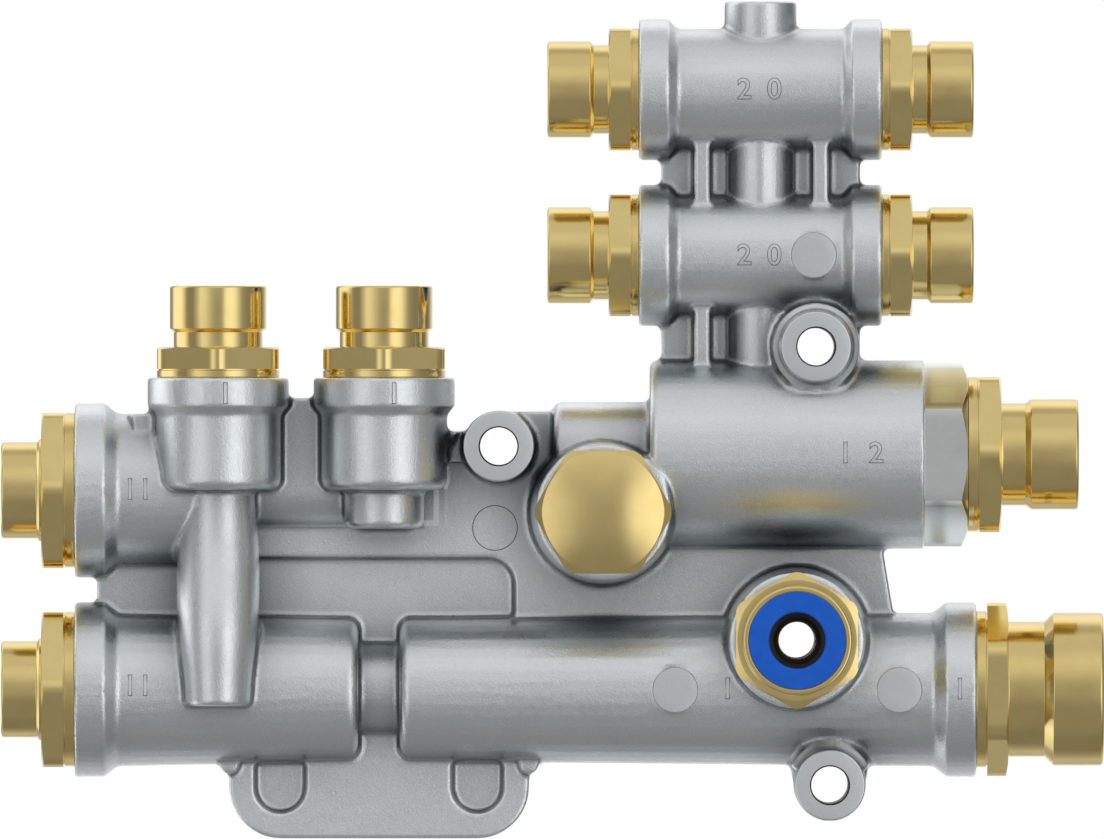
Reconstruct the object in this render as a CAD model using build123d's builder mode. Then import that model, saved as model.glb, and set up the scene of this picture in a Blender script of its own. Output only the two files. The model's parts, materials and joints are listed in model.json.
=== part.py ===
from build123d import *
import os
from dataclasses import dataclass

# Multi-way compressed-air valve: one cast housing with twelve push-in tube fittings.
# x runs along the long tubes, z is up and the front looks along -y.
# The origin is the axis of the middle mounting eye on the mounting plane, y = 0.
# A depth is a distance in front of the mounting plane; a level is one in front of the tube axes.

# Driving sizes of the housing: heights and stations
AXIS_DEPTH = 22.5
LOWER_Z = -54.48
UPPER_Z = -9.92
CYLINDER_Z = -1.88
MIDDLE_Z = 42.72
TOP_Z = 79.86
RISER_X = 58.64
LEFT_X = -94.9
RIGHT_X = 106.9

# Long tubes with their end flanges and the neck between the two lower halves
FLANGE_R = 19.5
FLANGE_LENGTH = 6.7
FLANGE_SLOPE = 2.9
TUBE_R = 17.2
TUBE_INNER_END_R = 16.1
NECK_R = 10.6
NECK_LEFT_X = -31.4
NECK_RIGHT_X = -22.2
TUBE_END_ROUND = 2.4
UPPER_TUBE_END_X = -58.0

# Gallery rail between and behind the two upright bosses
RAIL_HALF = 9.0
RAIL_TOP_Z = 10.8
RAIL_END_X = -13.4
RAIL_ROUND = 2.2

# Upright bosses
UPRIGHT_LEVEL = 10.5
UPRIGHT_XS = (-62.75, -25.6)
UPRIGHT_Z = 15.39
UPRIGHT_FLANGE_R = 15.8
UPRIGHT_FLANGE = 6.3
UPRIGHT_SLOPE = 2.0
UPRIGHT_BODY_R = 14.1
UPRIGHT_BOTTOM_Z = -9.8
UPRIGHT_ROUND = 2.4
DOWN_PIPE_TOP_R = 8.1
DOWN_PIPE_BELLY_R = 9.2
DOWN_PIPE_END_R = 7.3
DOWN_PIPE_BELLY_Z = (-25.5, -37.5)
DOWN_PIPE_END_Z = -58.1
CUP_R = 8.9
CUP_END_Z = -18.4

# Main web between the long tubes, with its lower panel
WEB_HALF = 4.0
WEB_LEFT_X = -89.9
WEB_SHOULDER_X = 12.3
WEB_TOP_Z = 7.9
WEB_NOTCH_Z = 3.4
WEB_SLOPE_TOP = (86.1, -23.7)
WEB_SLOPE_FOOT = (88.3, -36.9)
PANEL_DROP = 2.0
PANEL_TOP_Z = -24.8
PANEL_RIGHT_X = 3.65
PANEL_CORNER_R = 6.2

# Large and small valve cylinders
LARGE_R = 21.1
LARGE_X = (33.8, 95.3)
SMALL_R = 11.8
SMALL_X = 12.3
CYLINDER_ROUND = 1.8

# Cross tubes, the web and ribs between them, and the riser that joins them
CROSS_FLANGE_R = 15.8
CROSS_X = (31.4, 85.8)
CROSS_FLANGE = 6.6
CROSS_SLOPE = 2.0
CROSS_BODY_R = 13.6
CROSS_WEB_HALF = 2.75
CROSS_WEB_X = (36.4, 80.9)
RIB_HALF = 7.9
RIB_WIDTH = 3.5
LEFT_RIB_X = 45.5
RIGHT_RIB_X = 72.1
RISER_HALF_WIDTH = 6.1
RISER_HALF_DEPTH = 8.0
RISER_BOSS_R = 8.06
RISER_TOP_Z = TOP_Z + 19.74

# Plug boss, port boss and mounting eyes
PLUG_X = 23.36
PLUG_Z = -14.67
PORT_X = 66.66
PORT_Z = -43.34
BOSS_LEVEL = 21.0
BOSS_FACE_R = 15.2
BOSS_FOOT_R = 16.8
PLUG_BOSS_BACK = 13.0
PLUG_BOSS_BACK_R = 13.0
EYES = ((0.0, 0.0), (70.99, 22.29), (74.08, -75.78))
EYE_R = 8.0
EYE_DEPTH = 40.5
EYE_HOLE_R = 4.2
EYE_WEB_HALF = 6.0
EYE_WEB_SPREAD = 11.5
EYE_COLLAR_R = 9.8
EYE_COLLAR_ROUND = 0.9
EYE_COLLARS = ((EYES[1], 1.8, 0, 360), (EYES[2], 4.0, 25, 130))
PAD_R = 5.0
PADS = ((70.5, MIDDLE_Z, 13.3), (39.5, LOWER_Z, 16.4), (89.6, LOWER_Z, 16.85))

# Bracket plate under the neck
BRACKET_X = (-60.3, 6.8)
BRACKET_Z = -87.85
BRACKET_CORNER_R = 11.65
POCKET_XS = (-48.9, -4.75)
POCKET_Z = -76.3
POCKET_R = 5.8
POCKET_DROP = 1.8
STUB_R = 2.1
STUB_Z = -71.2
STUB_HALF = 5.5

# Small lugs beside the upright bosses: outer x, inner x, low z, high z, lean and level
LUGS = (
    (-82.6, -74.0, 3.2, 7.2, 1.6, 11.2),
    (-6.0, -14.0, -3.5, WEB_NOTCH_Z, 0.0, 8.0),
    (-9.0, -14.0, 0.4, WEB_NOTCH_Z, -1.6, 10.0),
)

# Ports: plain thread radii, seal recesses and passages
SMALL_THREAD_R = 11.0
LARGE_THREAD_R = 13.0
THREAD_GAP = 0.05
THREAD_EXTRA = 2.0
SEAL_WIDTH = 1.6
SEAL_DEPTH = 1.8
SEAL_GAP = 0.05
GALLERY_R = 4.5
GALLERY_LEVEL = -0.5
GALLERY_END_X = -19.0
FEED_R = 3.2
FEED_LEVEL = -2.2
FEED_WALL = 2.2
LOWER_BORE_R = 8.5
LOWER_BORE_END_X = -45.0
CHECK_BORE_R = 9.5
CHECK_SEAT_X = -16.0
SEAT_BORE_R = 5.0
DOWN_BORE_R = 4.0
DOWN_BORE_END_Z = -56.0
CUP_BORE_R = 7.4
CUP_BORE_END_Z = -14.5
CROSS_BORE_R = 6.5
RISER_BORE_R = 3.5
SIGHT_BORE_R = 4.1
BALL_R = 4.5
BALL_BELOW_TOP = 2.0
BALL_GAP = 0.02
PLUG_BORE_R = 10.5
PLUG_SEAT_LEVEL = 4.5
PLUG_REAR_R = 5.5
PLUG_REAR_LEVEL = -7.0
LINK_R = 2.8
LINK_LEVEL = 5.0
LINK_Z = -5.5

# Shuttle cylinder and the insert that closes it
SHUTTLE_BORE_R = 12.0
SHUTTLE_SEAT_X = 40.0
SHUTTLE_CHAMBER_R = 9.0
SHUTTLE_CHAMBER_X = 36.0
INSERT_THREAD_R = 15.0
INSERT_THREAD_X = 79.5
INSERT_NOSE_X = 72.0
INSERT_NOSE_GAP = 0.1
INSERT_END_X = 105.0
INSERT_BORE_R = 6.0
INSERT_FLATS = 36.0
INSERT_CORNER_R = 20.55
INSERT_CHAMFER = 1.4
INSERT_THREAD_EXTRA = 0.8
SHUTTLE_GAP = 0.08
SHUTTLE_LENGTH = 11.6
DISC_R = 10.6
DISC_THICK = 2.0
DISC_PROUD = 0.8
DISC_GAP = 0.05
GUIDE_RING_WIDTH = 2.6
GUIDE_RING_DEPTH = 1.2
GUIDE_RING_GAP = 0.04

# Check valves
SEAT_GAP = 0.05
POPPET_R = 7.5
POPPET_SEAL = 1.6
POPPET_PLATE = 2.0
POPPET_STEM_R = 3.0
POPPET_STEM = 7.85
STEM_GAP = 0.1
SPRING_R = 5.2
SPRING_WIRE = 0.9
SPRING_LENGTH = 5.3
SPRING_TURNS = 3
RETAINER_THICK = 3.0
RETAINER_GAP = 0.1
RETAINER_HUB_R = 4.4
RETAINER_HOLES = 6
RETAINER_HOLE_R = 1.5
CIRCLIP_THICK = 1.1
CIRCLIP_GROOVE = 1.2
CIRCLIP_GROOVE_R = 10.3
CIRCLIP_R = (8.2, 10.25)
CIRCLIP_ARC = 300

# Closing plug
PLUG_FLATS = 27.5
PLUG_CORNER_R = 15.25
PLUG_HEAD = 7.5
PLUG_COLLAR = 1.6
PLUG_CHAMFER = 1.1
PLUG_SHANK = 7.5
PLUG_GUIDE_DEPTH = 7.0

# Push-in fittings: what all sizes share
TUBE_GAP = 0.1
PASS_GAP = 0.3
SLEEVE_WALL = 1.3
SLIDE_GAP = 0.1
CAP_THICK = 2.0
CAP_LIP = 0.5
RING_TRAVEL = 1.2
COLLAR_WALL = 1.2
COLLAR_THICK = 1.6
BARB_HEIGHT = 0.7
BARB_LENGTH = 1.0
REST_GAP = 0.1
GRAB_THICK = 0.8
TUBE_SEAL_LENGTH = 2.4
SOCKET_LENGTH = 4.0
TUBE_WALL = 1.9
PACKING_GAP = 0.03
HEAD_CHAMFER = 0.9
HEX_CHAMFER = 0.8


@dataclass(frozen=True)
class FittingSize:
    """Driving sizes of one kind of push-in fitting, from its seat face outwards."""

    tube_r: float
    thread_r: float
    shank: float
    washer_r: float
    washer: float
    flats: float
    corner_r: float
    hexagon: float
    neck_r: float
    neck: float
    slope: float
    head_r: float
    head: float
    cap_r: float

    @property
    def length(self):
        """From the seat face to the outer face."""
        return self.washer + self.hexagon + self.neck + self.slope + self.head

    @property
    def bore_r(self):
        """Radius of the tube's socket."""
        return self.tube_r + TUBE_GAP

    @property
    def pass_r(self):
        """Radius of the release ring, grab ring and seal that the tube passes."""
        return self.tube_r + PASS_GAP

    @property
    def sleeve_r(self):
        """Outside of the release ring's sleeve."""
        return self.tube_r + SLEEVE_WALL

    @property
    def chamber_r(self):
        """Bore that holds the retaining collar, the grab ring and the tube seal."""
        return self.sleeve_r + SLIDE_GAP + COLLAR_WALL

    @property
    def pocket(self):
        """Floor of the pocket for the release ring's cap."""
        return self.length - CAP_THICK - RING_TRAVEL

    @property
    def grab_base(self):
        """Inner face of the grab ring, clear of the release ring when that is pushed in."""
        return self.pocket - COLLAR_THICK - BARB_LENGTH - RING_TRAVEL - 2 * REST_GAP - GRAB_THICK

    @property
    def stop(self):
        """Shoulder that the end of the tube meets."""
        return self.grab_base - TUBE_SEAL_LENGTH - 2 * REST_GAP - SOCKET_LENGTH


@dataclass(frozen=True)
class Port:
    """Where a fitting sits: its seat centre, the way it looks and where a hexagon corner points."""

    name: str
    point: tuple
    way: tuple
    corner: tuple
    size: FittingSize


CROSS = FittingSize(
    tube_r=6.0, thread_r=SMALL_THREAD_R, shank=9.5, washer_r=13.75, washer=1.9,
    flats=27.2, corner_r=15.25, hexagon=4.9, neck_r=9.97, neck=3.3, slope=0.8,
    head_r=10.83, head=9.6, cap_r=9.5,
)
INLET = FittingSize(
    tube_r=6.0, thread_r=LARGE_THREAD_R, shank=10.5, washer_r=17.4, washer=2.55,
    flats=34.6, corner_r=19.4, hexagon=4.9, neck_r=11.5, neck=0.5, slope=0.6,
    head_r=10.83, head=7.95, cap_r=9.5,
)
UPPER_OUTLET = FittingSize(
    tube_r=7.5, thread_r=LARGE_THREAD_R, shank=8.5, washer_r=17.4, washer=2.6,
    flats=34.6, corner_r=19.4, hexagon=4.9, neck_r=11.5, neck=5.4, slope=1.3,
    head_r=12.4, head=10.6, cap_r=11.0,
)
LOWER_OUTLET = FittingSize(
    tube_r=9.0, thread_r=LARGE_THREAD_R, shank=10.5, washer_r=17.6, washer=2.5,
    flats=34.7, corner_r=19.4, hexagon=4.7, neck_r=15.2, neck=8.0, slope=2.1,
    head_r=17.2, head=11.2, cap_r=14.5,
)
SIDE = FittingSize(
    tube_r=6.0, thread_r=SMALL_THREAD_R, shank=8.5, washer_r=13.75, washer=1.9,
    flats=27.2, corner_r=15.25, hexagon=4.9, neck_r=11.4, neck=2.4, slope=0.8,
    head_r=12.3, head=8.4, cap_r=10.9,
)

LEFTWARD = (-1, 0, 0)
RIGHTWARD = (1, 0, 0)
UPWARD = (0, 0, 1)
FORWARD = (0, -1, 0)
BACKWARD = (0, 1, 0)


def spot(x, level, z):
    """Point at a level in front of the tube axes."""
    return (x, -AXIS_DEPTH - level, z)


PORTS = (
    Port("top_left", spot(CROSS_X[0], 0, TOP_Z), LEFTWARD, FORWARD, CROSS),
    Port("top_right", spot(CROSS_X[1], 0, TOP_Z), RIGHTWARD, FORWARD, CROSS),
    Port("middle_left", spot(CROSS_X[0], 0, MIDDLE_Z), LEFTWARD, FORWARD, CROSS),
    Port("middle_right", spot(CROSS_X[1], 0, MIDDLE_Z), RIGHTWARD, FORWARD, CROSS),
    Port("upright_left", spot(UPRIGHT_XS[0], UPRIGHT_LEVEL, UPRIGHT_Z), UPWARD, FORWARD, CROSS),
    Port("upright_right", spot(UPRIGHT_XS[1], UPRIGHT_LEVEL, UPRIGHT_Z), UPWARD, FORWARD, CROSS),
    Port("upper_inlet", spot(LEFT_X, 0, UPPER_Z), LEFTWARD, FORWARD, INLET),
    Port("lower_inlet", spot(LEFT_X, 0, LOWER_Z), LEFTWARD, FORWARD, INLET),
    Port("upper_outlet", spot(INSERT_END_X, 0, CYLINDER_Z), RIGHTWARD, FORWARD, UPPER_OUTLET),
    Port("lower_outlet", spot(RIGHT_X, 0, LOWER_Z), RIGHTWARD, UPWARD, LOWER_OUTLET),
    Port("front", spot(PORT_X, BOSS_LEVEL, PORT_Z), FORWARD, UPWARD, SIDE),
    Port("rear", spot(PORT_X, -BOSS_LEVEL, PORT_Z), BACKWARD, UPWARD, SIDE),
)

os.makedirs("parts", exist_ok=True)


def save(piece, name):
    """Label a finished piece and write it."""
    piece.part.label = name
    export_step(piece.part, f"parts/{name}.step")


def soften(outline, rounds):
    """Round the named corners of a flat outline, each with its own radius."""
    for corner, radius in rounds:
        fillet(outline.vertices().sort_by_distance(corner)[0], radius)


def turn(point, way, across, corners, mode=Mode.ADD, arc=360, rounds=()):
    """Turn a closed outline of (radius, distance along the axis) corners about an axis."""
    side = Plane(origin=point, x_dir=across, z_dir=Vector(*across).cross(Vector(*way)))
    with BuildSketch(side) as outline:
        with BuildLine():
            Polyline(*corners, close=True)
        make_face()
        soften(outline, rounds)
    revolve(outline.sketch, axis=Axis(point, way), revolution_arc=arc, mode=mode)


def ring(port, inner, outer, start, end, mode=Mode.ADD):
    """Plain ring on a port's axis between two distances from its seat, outwards positive."""
    corners = ((inner, start), (outer, start), (outer, end), (inner, end))
    turn(port.point, port.way, port.corner, corners, mode)


def rod(point, way, across, radius, start, end, mode=Mode.ADD):
    """Plain rod or bore on an axis."""
    turn(point, way, across, ((0, start), (radius, start), (radius, end), (0, end)), mode)


def flat(level):
    """Plane that looks forward at a level in front of the tube axes."""
    return Plane.XZ.offset(AXIS_DEPTH + level)


def slab(corners, half, rounds=()):
    """Plate of one outline, as far behind the tube axes as in front of them."""
    with BuildSketch(flat(0)) as outline:
        with BuildLine():
            Polyline(*corners, close=True)
        make_face()
        soften(outline, rounds)
    extrude(outline.sketch, amount=half, both=True)


def sink(outline, half, drop):
    """Cut an outline into both faces of a plate."""
    for side in (1, -1):
        floor = outline.sketch.moved(Location((0, -side * (half - drop), 0)))
        extrude(floor, amount=drop, dir=(0, -side, 0), mode=Mode.SUBTRACT)


def hexagon_block(point, way, corner, flats, corner_r, start, end, chamfer):
    """Hexagon with turned corners and a chamfered outer end."""
    base = Plane(origin=point, x_dir=corner, z_dir=way)
    with BuildSketch(base.offset(start)) as outline:
        RegularPolygon(radius=flats / 2, side_count=6, major_radius=False)
        Circle(corner_r, mode=Mode.INTERSECT)
    extrude(outline.sketch, amount=end - start)
    inner = flats / 2 - chamfer / 2
    outer = corner_r + chamfer
    drop = (outer - inner) * chamfer / (corner_r - inner)
    turn(point, way, corner, ((inner, end), (outer, end), (outer, end - drop)), Mode.SUBTRACT)


def fitting_body(port):
    """Fitting with its threaded shank, washer face, hexagon, neck and head, bored for its tube."""
    size = port.size
    hex_start = size.washer
    hex_end = hex_start + size.hexagon
    neck_end = hex_end + size.neck
    head_start = neck_end + size.slope
    outer = size.length
    hexagon_block(
        port.point, port.way, port.corner, size.flats, size.corner_r, hex_start, hex_end, HEX_CHAMFER
    )
    corners = (
        (0, -size.shank),
        (size.thread_r - THREAD_GAP, -size.shank),
        (size.thread_r - THREAD_GAP, 0),
        (size.washer_r, 0),
        (size.washer_r, hex_start),
        (size.neck_r, hex_start),
        (size.neck_r, neck_end),
        (size.head_r, head_start),
        (size.head_r, outer - HEAD_CHAMFER),
        (size.head_r - HEAD_CHAMFER, outer),
        (0, outer),
    )
    turn(port.point, port.way, port.corner, corners)
    bore = (
        (0, -size.shank),
        (size.tube_r - TUBE_WALL, -size.shank),
        (size.tube_r - TUBE_WALL, size.stop),
        (size.bore_r, size.stop),
        (size.bore_r, size.stop + SOCKET_LENGTH),
        (size.chamber_r, size.stop + SOCKET_LENGTH),
        (size.chamber_r, size.pocket),
        (size.cap_r + SLIDE_GAP, size.pocket),
        (size.cap_r + SLIDE_GAP, outer),
        (0, outer),
    )
    turn(port.point, port.way, port.corner, bore, Mode.SUBTRACT)


def release_ring(port):
    """Release ring: a flat cap flush with the head, and a sleeve whose barb is held behind the collar."""
    size = port.size
    outer = size.length
    barb = size.pocket - COLLAR_THICK - REST_GAP
    corners = (
        (size.pass_r + CAP_LIP, outer),
        (size.cap_r, outer),
        (size.cap_r, outer - CAP_THICK),
        (size.sleeve_r, outer - CAP_THICK),
        (size.sleeve_r, barb),
        (size.sleeve_r + BARB_HEIGHT, barb),
        (size.sleeve_r, barb - BARB_LENGTH),
        (size.pass_r, barb - BARB_LENGTH),
        (size.pass_r, outer - CAP_LIP),
    )
    turn(port.point, port.way, port.corner, corners)


def poppet(point, way, across):
    """Check valve poppet that stands on its seal: plate and guide stem."""
    foot = SEAT_GAP + POPPET_SEAL
    top = foot + POPPET_PLATE
    corners = (
        (0, foot),
        (POPPET_R, foot),
        (POPPET_R, top),
        (POPPET_STEM_R, top),
        (POPPET_STEM_R, top + POPPET_STEM),
        (0, top + POPPET_STEM),
    )
    turn(point, way, across, corners)


def check_spring(point, way):
    """Square wire spring between a poppet's plate and the face that it pushes against."""
    start = SEAT_GAP + POPPET_SEAL + POPPET_PLATE + SPRING_WIRE / 2 + REST_GAP / 2
    height = SPRING_LENGTH - SPRING_WIRE - REST_GAP
    foot = Vector(*point) + Vector(*way) * start
    coil = Helix(pitch=height / SPRING_TURNS, height=height, radius=SPRING_R, center=foot, direction=way)
    with BuildSketch(Plane(origin=coil @ 0, x_dir=way, z_dir=coil % 0)) as wire:
        Rectangle(SPRING_WIRE, SPRING_WIRE)
    sweep(wire.sketch, path=coil, is_frenet=True)


# Housing, one casting
with BuildPart() as housing:
    # Web between the long tubes, with a sunken panel on both faces
    web_shoulder = WEB_SHOULDER_X + SMALL_R
    rail_face = RAIL_END_X - RAIL_ROUND
    web_outline = (
        (WEB_LEFT_X, UPPER_Z),
        (rail_face, UPPER_Z),
        (rail_face, WEB_NOTCH_Z),
        (0, WEB_NOTCH_Z),
        (0, WEB_TOP_Z),
        (web_shoulder, WEB_TOP_Z),
        (web_shoulder, CYLINDER_Z),
        (WEB_SLOPE_TOP[0], CYLINDER_Z),
        WEB_SLOPE_TOP,
        WEB_SLOPE_FOOT,
        (WEB_SLOPE_FOOT[0], LOWER_Z),
        (WEB_LEFT_X, LOWER_Z),
    )
    slab(web_outline, WEB_HALF)
    with BuildSketch(flat(0), mode=Mode.PRIVATE) as panel:
        with BuildLine():
            Polyline(
                (UPRIGHT_XS[0], PANEL_TOP_Z),
                (PANEL_RIGHT_X, PANEL_TOP_Z),
                (PANEL_RIGHT_X, LOWER_Z),
                (UPRIGHT_XS[0], LOWER_Z),
                close=True,
            )
        make_face()
        fillet(panel.vertices().sort_by_distance((PANEL_RIGHT_X, PANEL_TOP_Z))[0], PANEL_CORNER_R)
    sink(panel, WEB_HALF, PANEL_DROP)

    # Bracket plate under the neck, with two pockets open to the tube on both faces
    bracket_outline = (
        (BRACKET_X[0], LOWER_Z),
        (BRACKET_X[1], LOWER_Z),
        (BRACKET_X[1], BRACKET_Z),
        (BRACKET_X[0], BRACKET_Z),
    )
    bracket_rounds = [((x, BRACKET_Z), BRACKET_CORNER_R) for x in BRACKET_X]
    slab(bracket_outline, WEB_HALF, bracket_rounds)
    with BuildSketch(flat(0), mode=Mode.PRIVATE) as pockets:
        with Locations(*[(x, POCKET_Z) for x in POCKET_XS]):
            Circle(POCKET_R)
            Rectangle(2 * POCKET_R, LOWER_Z - POCKET_Z, align=(Align.CENTER, Align.MIN))
    sink(pockets, WEB_HALF, POCKET_DROP)
    with BuildSketch(flat(0)):
        with Locations(*[(x, STUB_Z) for x in BRACKET_X]):
            Circle(STUB_R)
    extrude(amount=STUB_HALF, both=True)

    # Web between the cross tubes, with its ribs
    slab(
        (
            (CROSS_WEB_X[0], CYLINDER_Z),
            (CROSS_WEB_X[1], CYLINDER_Z),
            (CROSS_WEB_X[1], TOP_Z),
            (CROSS_WEB_X[0], TOP_Z),
        ),
        CROSS_WEB_HALF,
    )
    for rib_x, rib_foot in ((LEFT_RIB_X, CYLINDER_Z), (RIGHT_RIB_X, MIDDLE_Z)):
        slab(
            (
                (rib_x - RIB_WIDTH / 2, rib_foot),
                (rib_x + RIB_WIDTH / 2, rib_foot),
                (rib_x + RIB_WIDTH / 2, TOP_Z),
                (rib_x - RIB_WIDTH / 2, TOP_Z),
            ),
            RIB_HALF,
        )

    # Riser, an oval pipe, and the boss at its top
    with BuildSketch(Plane.XY.offset(CYLINDER_Z)):
        with Locations((RISER_X, -AXIS_DEPTH)):
            Ellipse(RISER_HALF_WIDTH, RISER_HALF_DEPTH)
    extrude(amount=TOP_Z - CYLINDER_Z)
    top = spot(RISER_X, 0, 0)
    rod(top, UPWARD, RIGHTWARD, RISER_BOSS_R, TOP_Z, RISER_TOP_Z)

    # Lower tube: two tapered halves joined by the neck
    lower = spot(0, 0, LOWER_Z)
    lower_outline = (
        (0, LEFT_X),
        (FLANGE_R, LEFT_X),
        (FLANGE_R, LEFT_X + FLANGE_LENGTH),
        (TUBE_R, LEFT_X + FLANGE_LENGTH + FLANGE_SLOPE),
        (TUBE_INNER_END_R, NECK_LEFT_X),
        (NECK_R, NECK_LEFT_X),
        (NECK_R, NECK_RIGHT_X),
        (TUBE_INNER_END_R, NECK_RIGHT_X),
        (TUBE_R, RIGHT_X - FLANGE_LENGTH - FLANGE_SLOPE),
        (FLANGE_R, RIGHT_X - FLANGE_LENGTH),
        (FLANGE_R, RIGHT_X),
        (0, RIGHT_X),
    )
    lower_rounds = [((TUBE_INNER_END_R, x), TUBE_END_ROUND) for x in (NECK_LEFT_X, NECK_RIGHT_X)]
    turn(lower, RIGHTWARD, UPWARD, lower_outline, rounds=lower_rounds)

    # Upper tube and the gallery rail: flat sides, round underside
    upper = spot(0, 0, UPPER_Z)
    upper_outline = (
        (0, LEFT_X),
        (FLANGE_R, LEFT_X),
        (FLANGE_R, LEFT_X + FLANGE_LENGTH),
        (TUBE_R, LEFT_X + FLANGE_LENGTH + FLANGE_SLOPE),
        (TUBE_R, UPPER_TUBE_END_X),
        (0, UPPER_TUBE_END_X),
    )
    turn(upper, RIGHTWARD, UPWARD, upper_outline, rounds=[((TUBE_R, UPPER_TUBE_END_X), TUBE_END_ROUND)])
    with BuildSketch(Plane.YZ.offset(UPRIGHT_XS[0])):
        with Locations((-AXIS_DEPTH, UPPER_Z)):
            Circle(RAIL_HALF)
            Rectangle(2 * RAIL_HALF, RAIL_TOP_Z - UPPER_Z, align=(Align.CENTER, Align.MIN))
    extrude(amount=RAIL_END_X - UPRIGHT_XS[0])

    # Small lugs beside the upright bosses
    for outer_x, inner_x, low_z, high_z, lean, lug_level in LUGS:
        with BuildSketch(flat(0)):
            with BuildLine():
                Polyline(
                    (outer_x, high_z),
                    (outer_x + lean, low_z),
                    (inner_x, low_z),
                    (inner_x, high_z),
                    close=True,
                )
            make_face()
        extrude(amount=lug_level)

    # Upright bosses, the pipe down from the left one and the cup under the right one
    for upright_x in UPRIGHT_XS:
        upright_outline = (
            (0, UPRIGHT_BOTTOM_Z),
            (UPRIGHT_BODY_R, UPRIGHT_BOTTOM_Z),
            (UPRIGHT_BODY_R, UPRIGHT_Z - UPRIGHT_FLANGE - UPRIGHT_SLOPE),
            (UPRIGHT_FLANGE_R, UPRIGHT_Z - UPRIGHT_FLANGE),
            (UPRIGHT_FLANGE_R, UPRIGHT_Z),
            (0, UPRIGHT_Z),
        )
        upright_rounds = [((UPRIGHT_BODY_R, UPRIGHT_BOTTOM_Z), UPRIGHT_ROUND)]
        upright = spot(upright_x, UPRIGHT_LEVEL, 0)
        turn(upright, UPWARD, RIGHTWARD, upright_outline, rounds=upright_rounds)
    down_pipe = spot(UPRIGHT_XS[0], UPRIGHT_LEVEL, 0)
    down_pipe_side = Plane(origin=down_pipe, x_dir=(1, 0, 0), z_dir=(0, -1, 0))
    with BuildSketch(down_pipe_side) as down_pipe_outline:
        with BuildLine():
            Line((0, 0), (DOWN_PIPE_TOP_R, 0))
            Spline(
                (DOWN_PIPE_TOP_R, 0),
                (DOWN_PIPE_TOP_R, UPRIGHT_BOTTOM_Z),
                (DOWN_PIPE_BELLY_R, DOWN_PIPE_BELLY_Z[0]),
                (DOWN_PIPE_BELLY_R, DOWN_PIPE_BELLY_Z[1]),
                (DOWN_PIPE_END_R, DOWN_PIPE_END_Z),
            )
            Polyline((DOWN_PIPE_END_R, DOWN_PIPE_END_Z), (0, DOWN_PIPE_END_Z), (0, 0))
        make_face()
        soften(down_pipe_outline, [((DOWN_PIPE_END_R, DOWN_PIPE_END_Z), CYLINDER_ROUND)])
    revolve(axis=Axis(down_pipe, UPWARD))
    cup_outline = (
        (0, CUP_END_Z),
        (CUP_R, CUP_END_Z),
        (CUP_R, 0),
        (0, 0),
    )
    cup = spot(UPRIGHT_XS[1], UPRIGHT_LEVEL, 0)
    turn(cup, UPWARD, RIGHTWARD, cup_outline, rounds=[((CUP_R, CUP_END_Z), CYLINDER_ROUND)])

    # Small and large valve cylinders in one line
    cylinders = spot(0, 0, CYLINDER_Z)
    cylinder_outline = (
        (0, SMALL_X),
        (SMALL_R, SMALL_X),
        (SMALL_R, LARGE_X[0]),
        (LARGE_R, LARGE_X[0]),
        (LARGE_R, LARGE_X[1]),
        (0, LARGE_X[1]),
    )
    cylinder_rounds = [((SMALL_R, SMALL_X), CYLINDER_ROUND), ((LARGE_R, LARGE_X[0]), CYLINDER_ROUND)]
    turn(cylinders, RIGHTWARD, UPWARD, cylinder_outline, rounds=cylinder_rounds)

    # Cross tubes
    for cross_z in (MIDDLE_Z, TOP_Z):
        cross_outline = (
            (0, CROSS_X[0]),
            (CROSS_FLANGE_R, CROSS_X[0]),
            (CROSS_FLANGE_R, CROSS_X[0] + CROSS_FLANGE),
            (CROSS_BODY_R, CROSS_X[0] + CROSS_FLANGE + CROSS_SLOPE),
            (CROSS_BODY_R, CROSS_X[1] - CROSS_FLANGE - CROSS_SLOPE),
            (CROSS_FLANGE_R, CROSS_X[1] - CROSS_FLANGE),
            (CROSS_FLANGE_R, CROSS_X[1]),
            (0, CROSS_X[1]),
        )
        turn(spot(0, 0, cross_z), RIGHTWARD, UPWARD, cross_outline)

    # Pipe on the back of the web, for the feed from the gallery to the plug chamber
    feed = spot(0, FEED_LEVEL, UPPER_Z)
    rod(feed, RIGHTWARD, UPWARD, FEED_R + FEED_WALL, RAIL_END_X - FEED_R, PLUG_X)

    # Bosses for the closing plug and for the front and rear ports, all with casting draft
    plug_boss_outline = (
        (0, -PLUG_BOSS_BACK),
        (PLUG_BOSS_BACK_R, -PLUG_BOSS_BACK),
        (BOSS_FOOT_R, 0),
        (BOSS_FACE_R, BOSS_LEVEL),
        (0, BOSS_LEVEL),
    )
    plug_point = spot(PLUG_X, 0, PLUG_Z)
    turn(plug_point, FORWARD, RIGHTWARD, plug_boss_outline)
    port_boss_outline = (
        (0, -BOSS_LEVEL),
        (BOSS_FACE_R, -BOSS_LEVEL),
        (BOSS_FOOT_R, 0),
        (BOSS_FACE_R, BOSS_LEVEL),
        (0, BOSS_LEVEL),
    )
    port_point = spot(PORT_X, 0, PORT_Z)
    turn(port_point, FORWARD, RIGHTWARD, port_boss_outline)

    # Mounting eyes, and the web that carries the lowest one
    lowest_x, lowest_z = EYES[-1]
    slab(
        (
            (lowest_x - EYE_WEB_SPREAD, LOWER_Z),
            (lowest_x + EYE_WEB_SPREAD, LOWER_Z),
            (lowest_x + EYE_R, lowest_z),
            (lowest_x - EYE_R, lowest_z),
        ),
        EYE_WEB_HALF,
    )
    with BuildSketch(Plane.XZ):
        with Locations(*EYES):
            Circle(EYE_R)
    extrude(amount=EYE_DEPTH)

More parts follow.
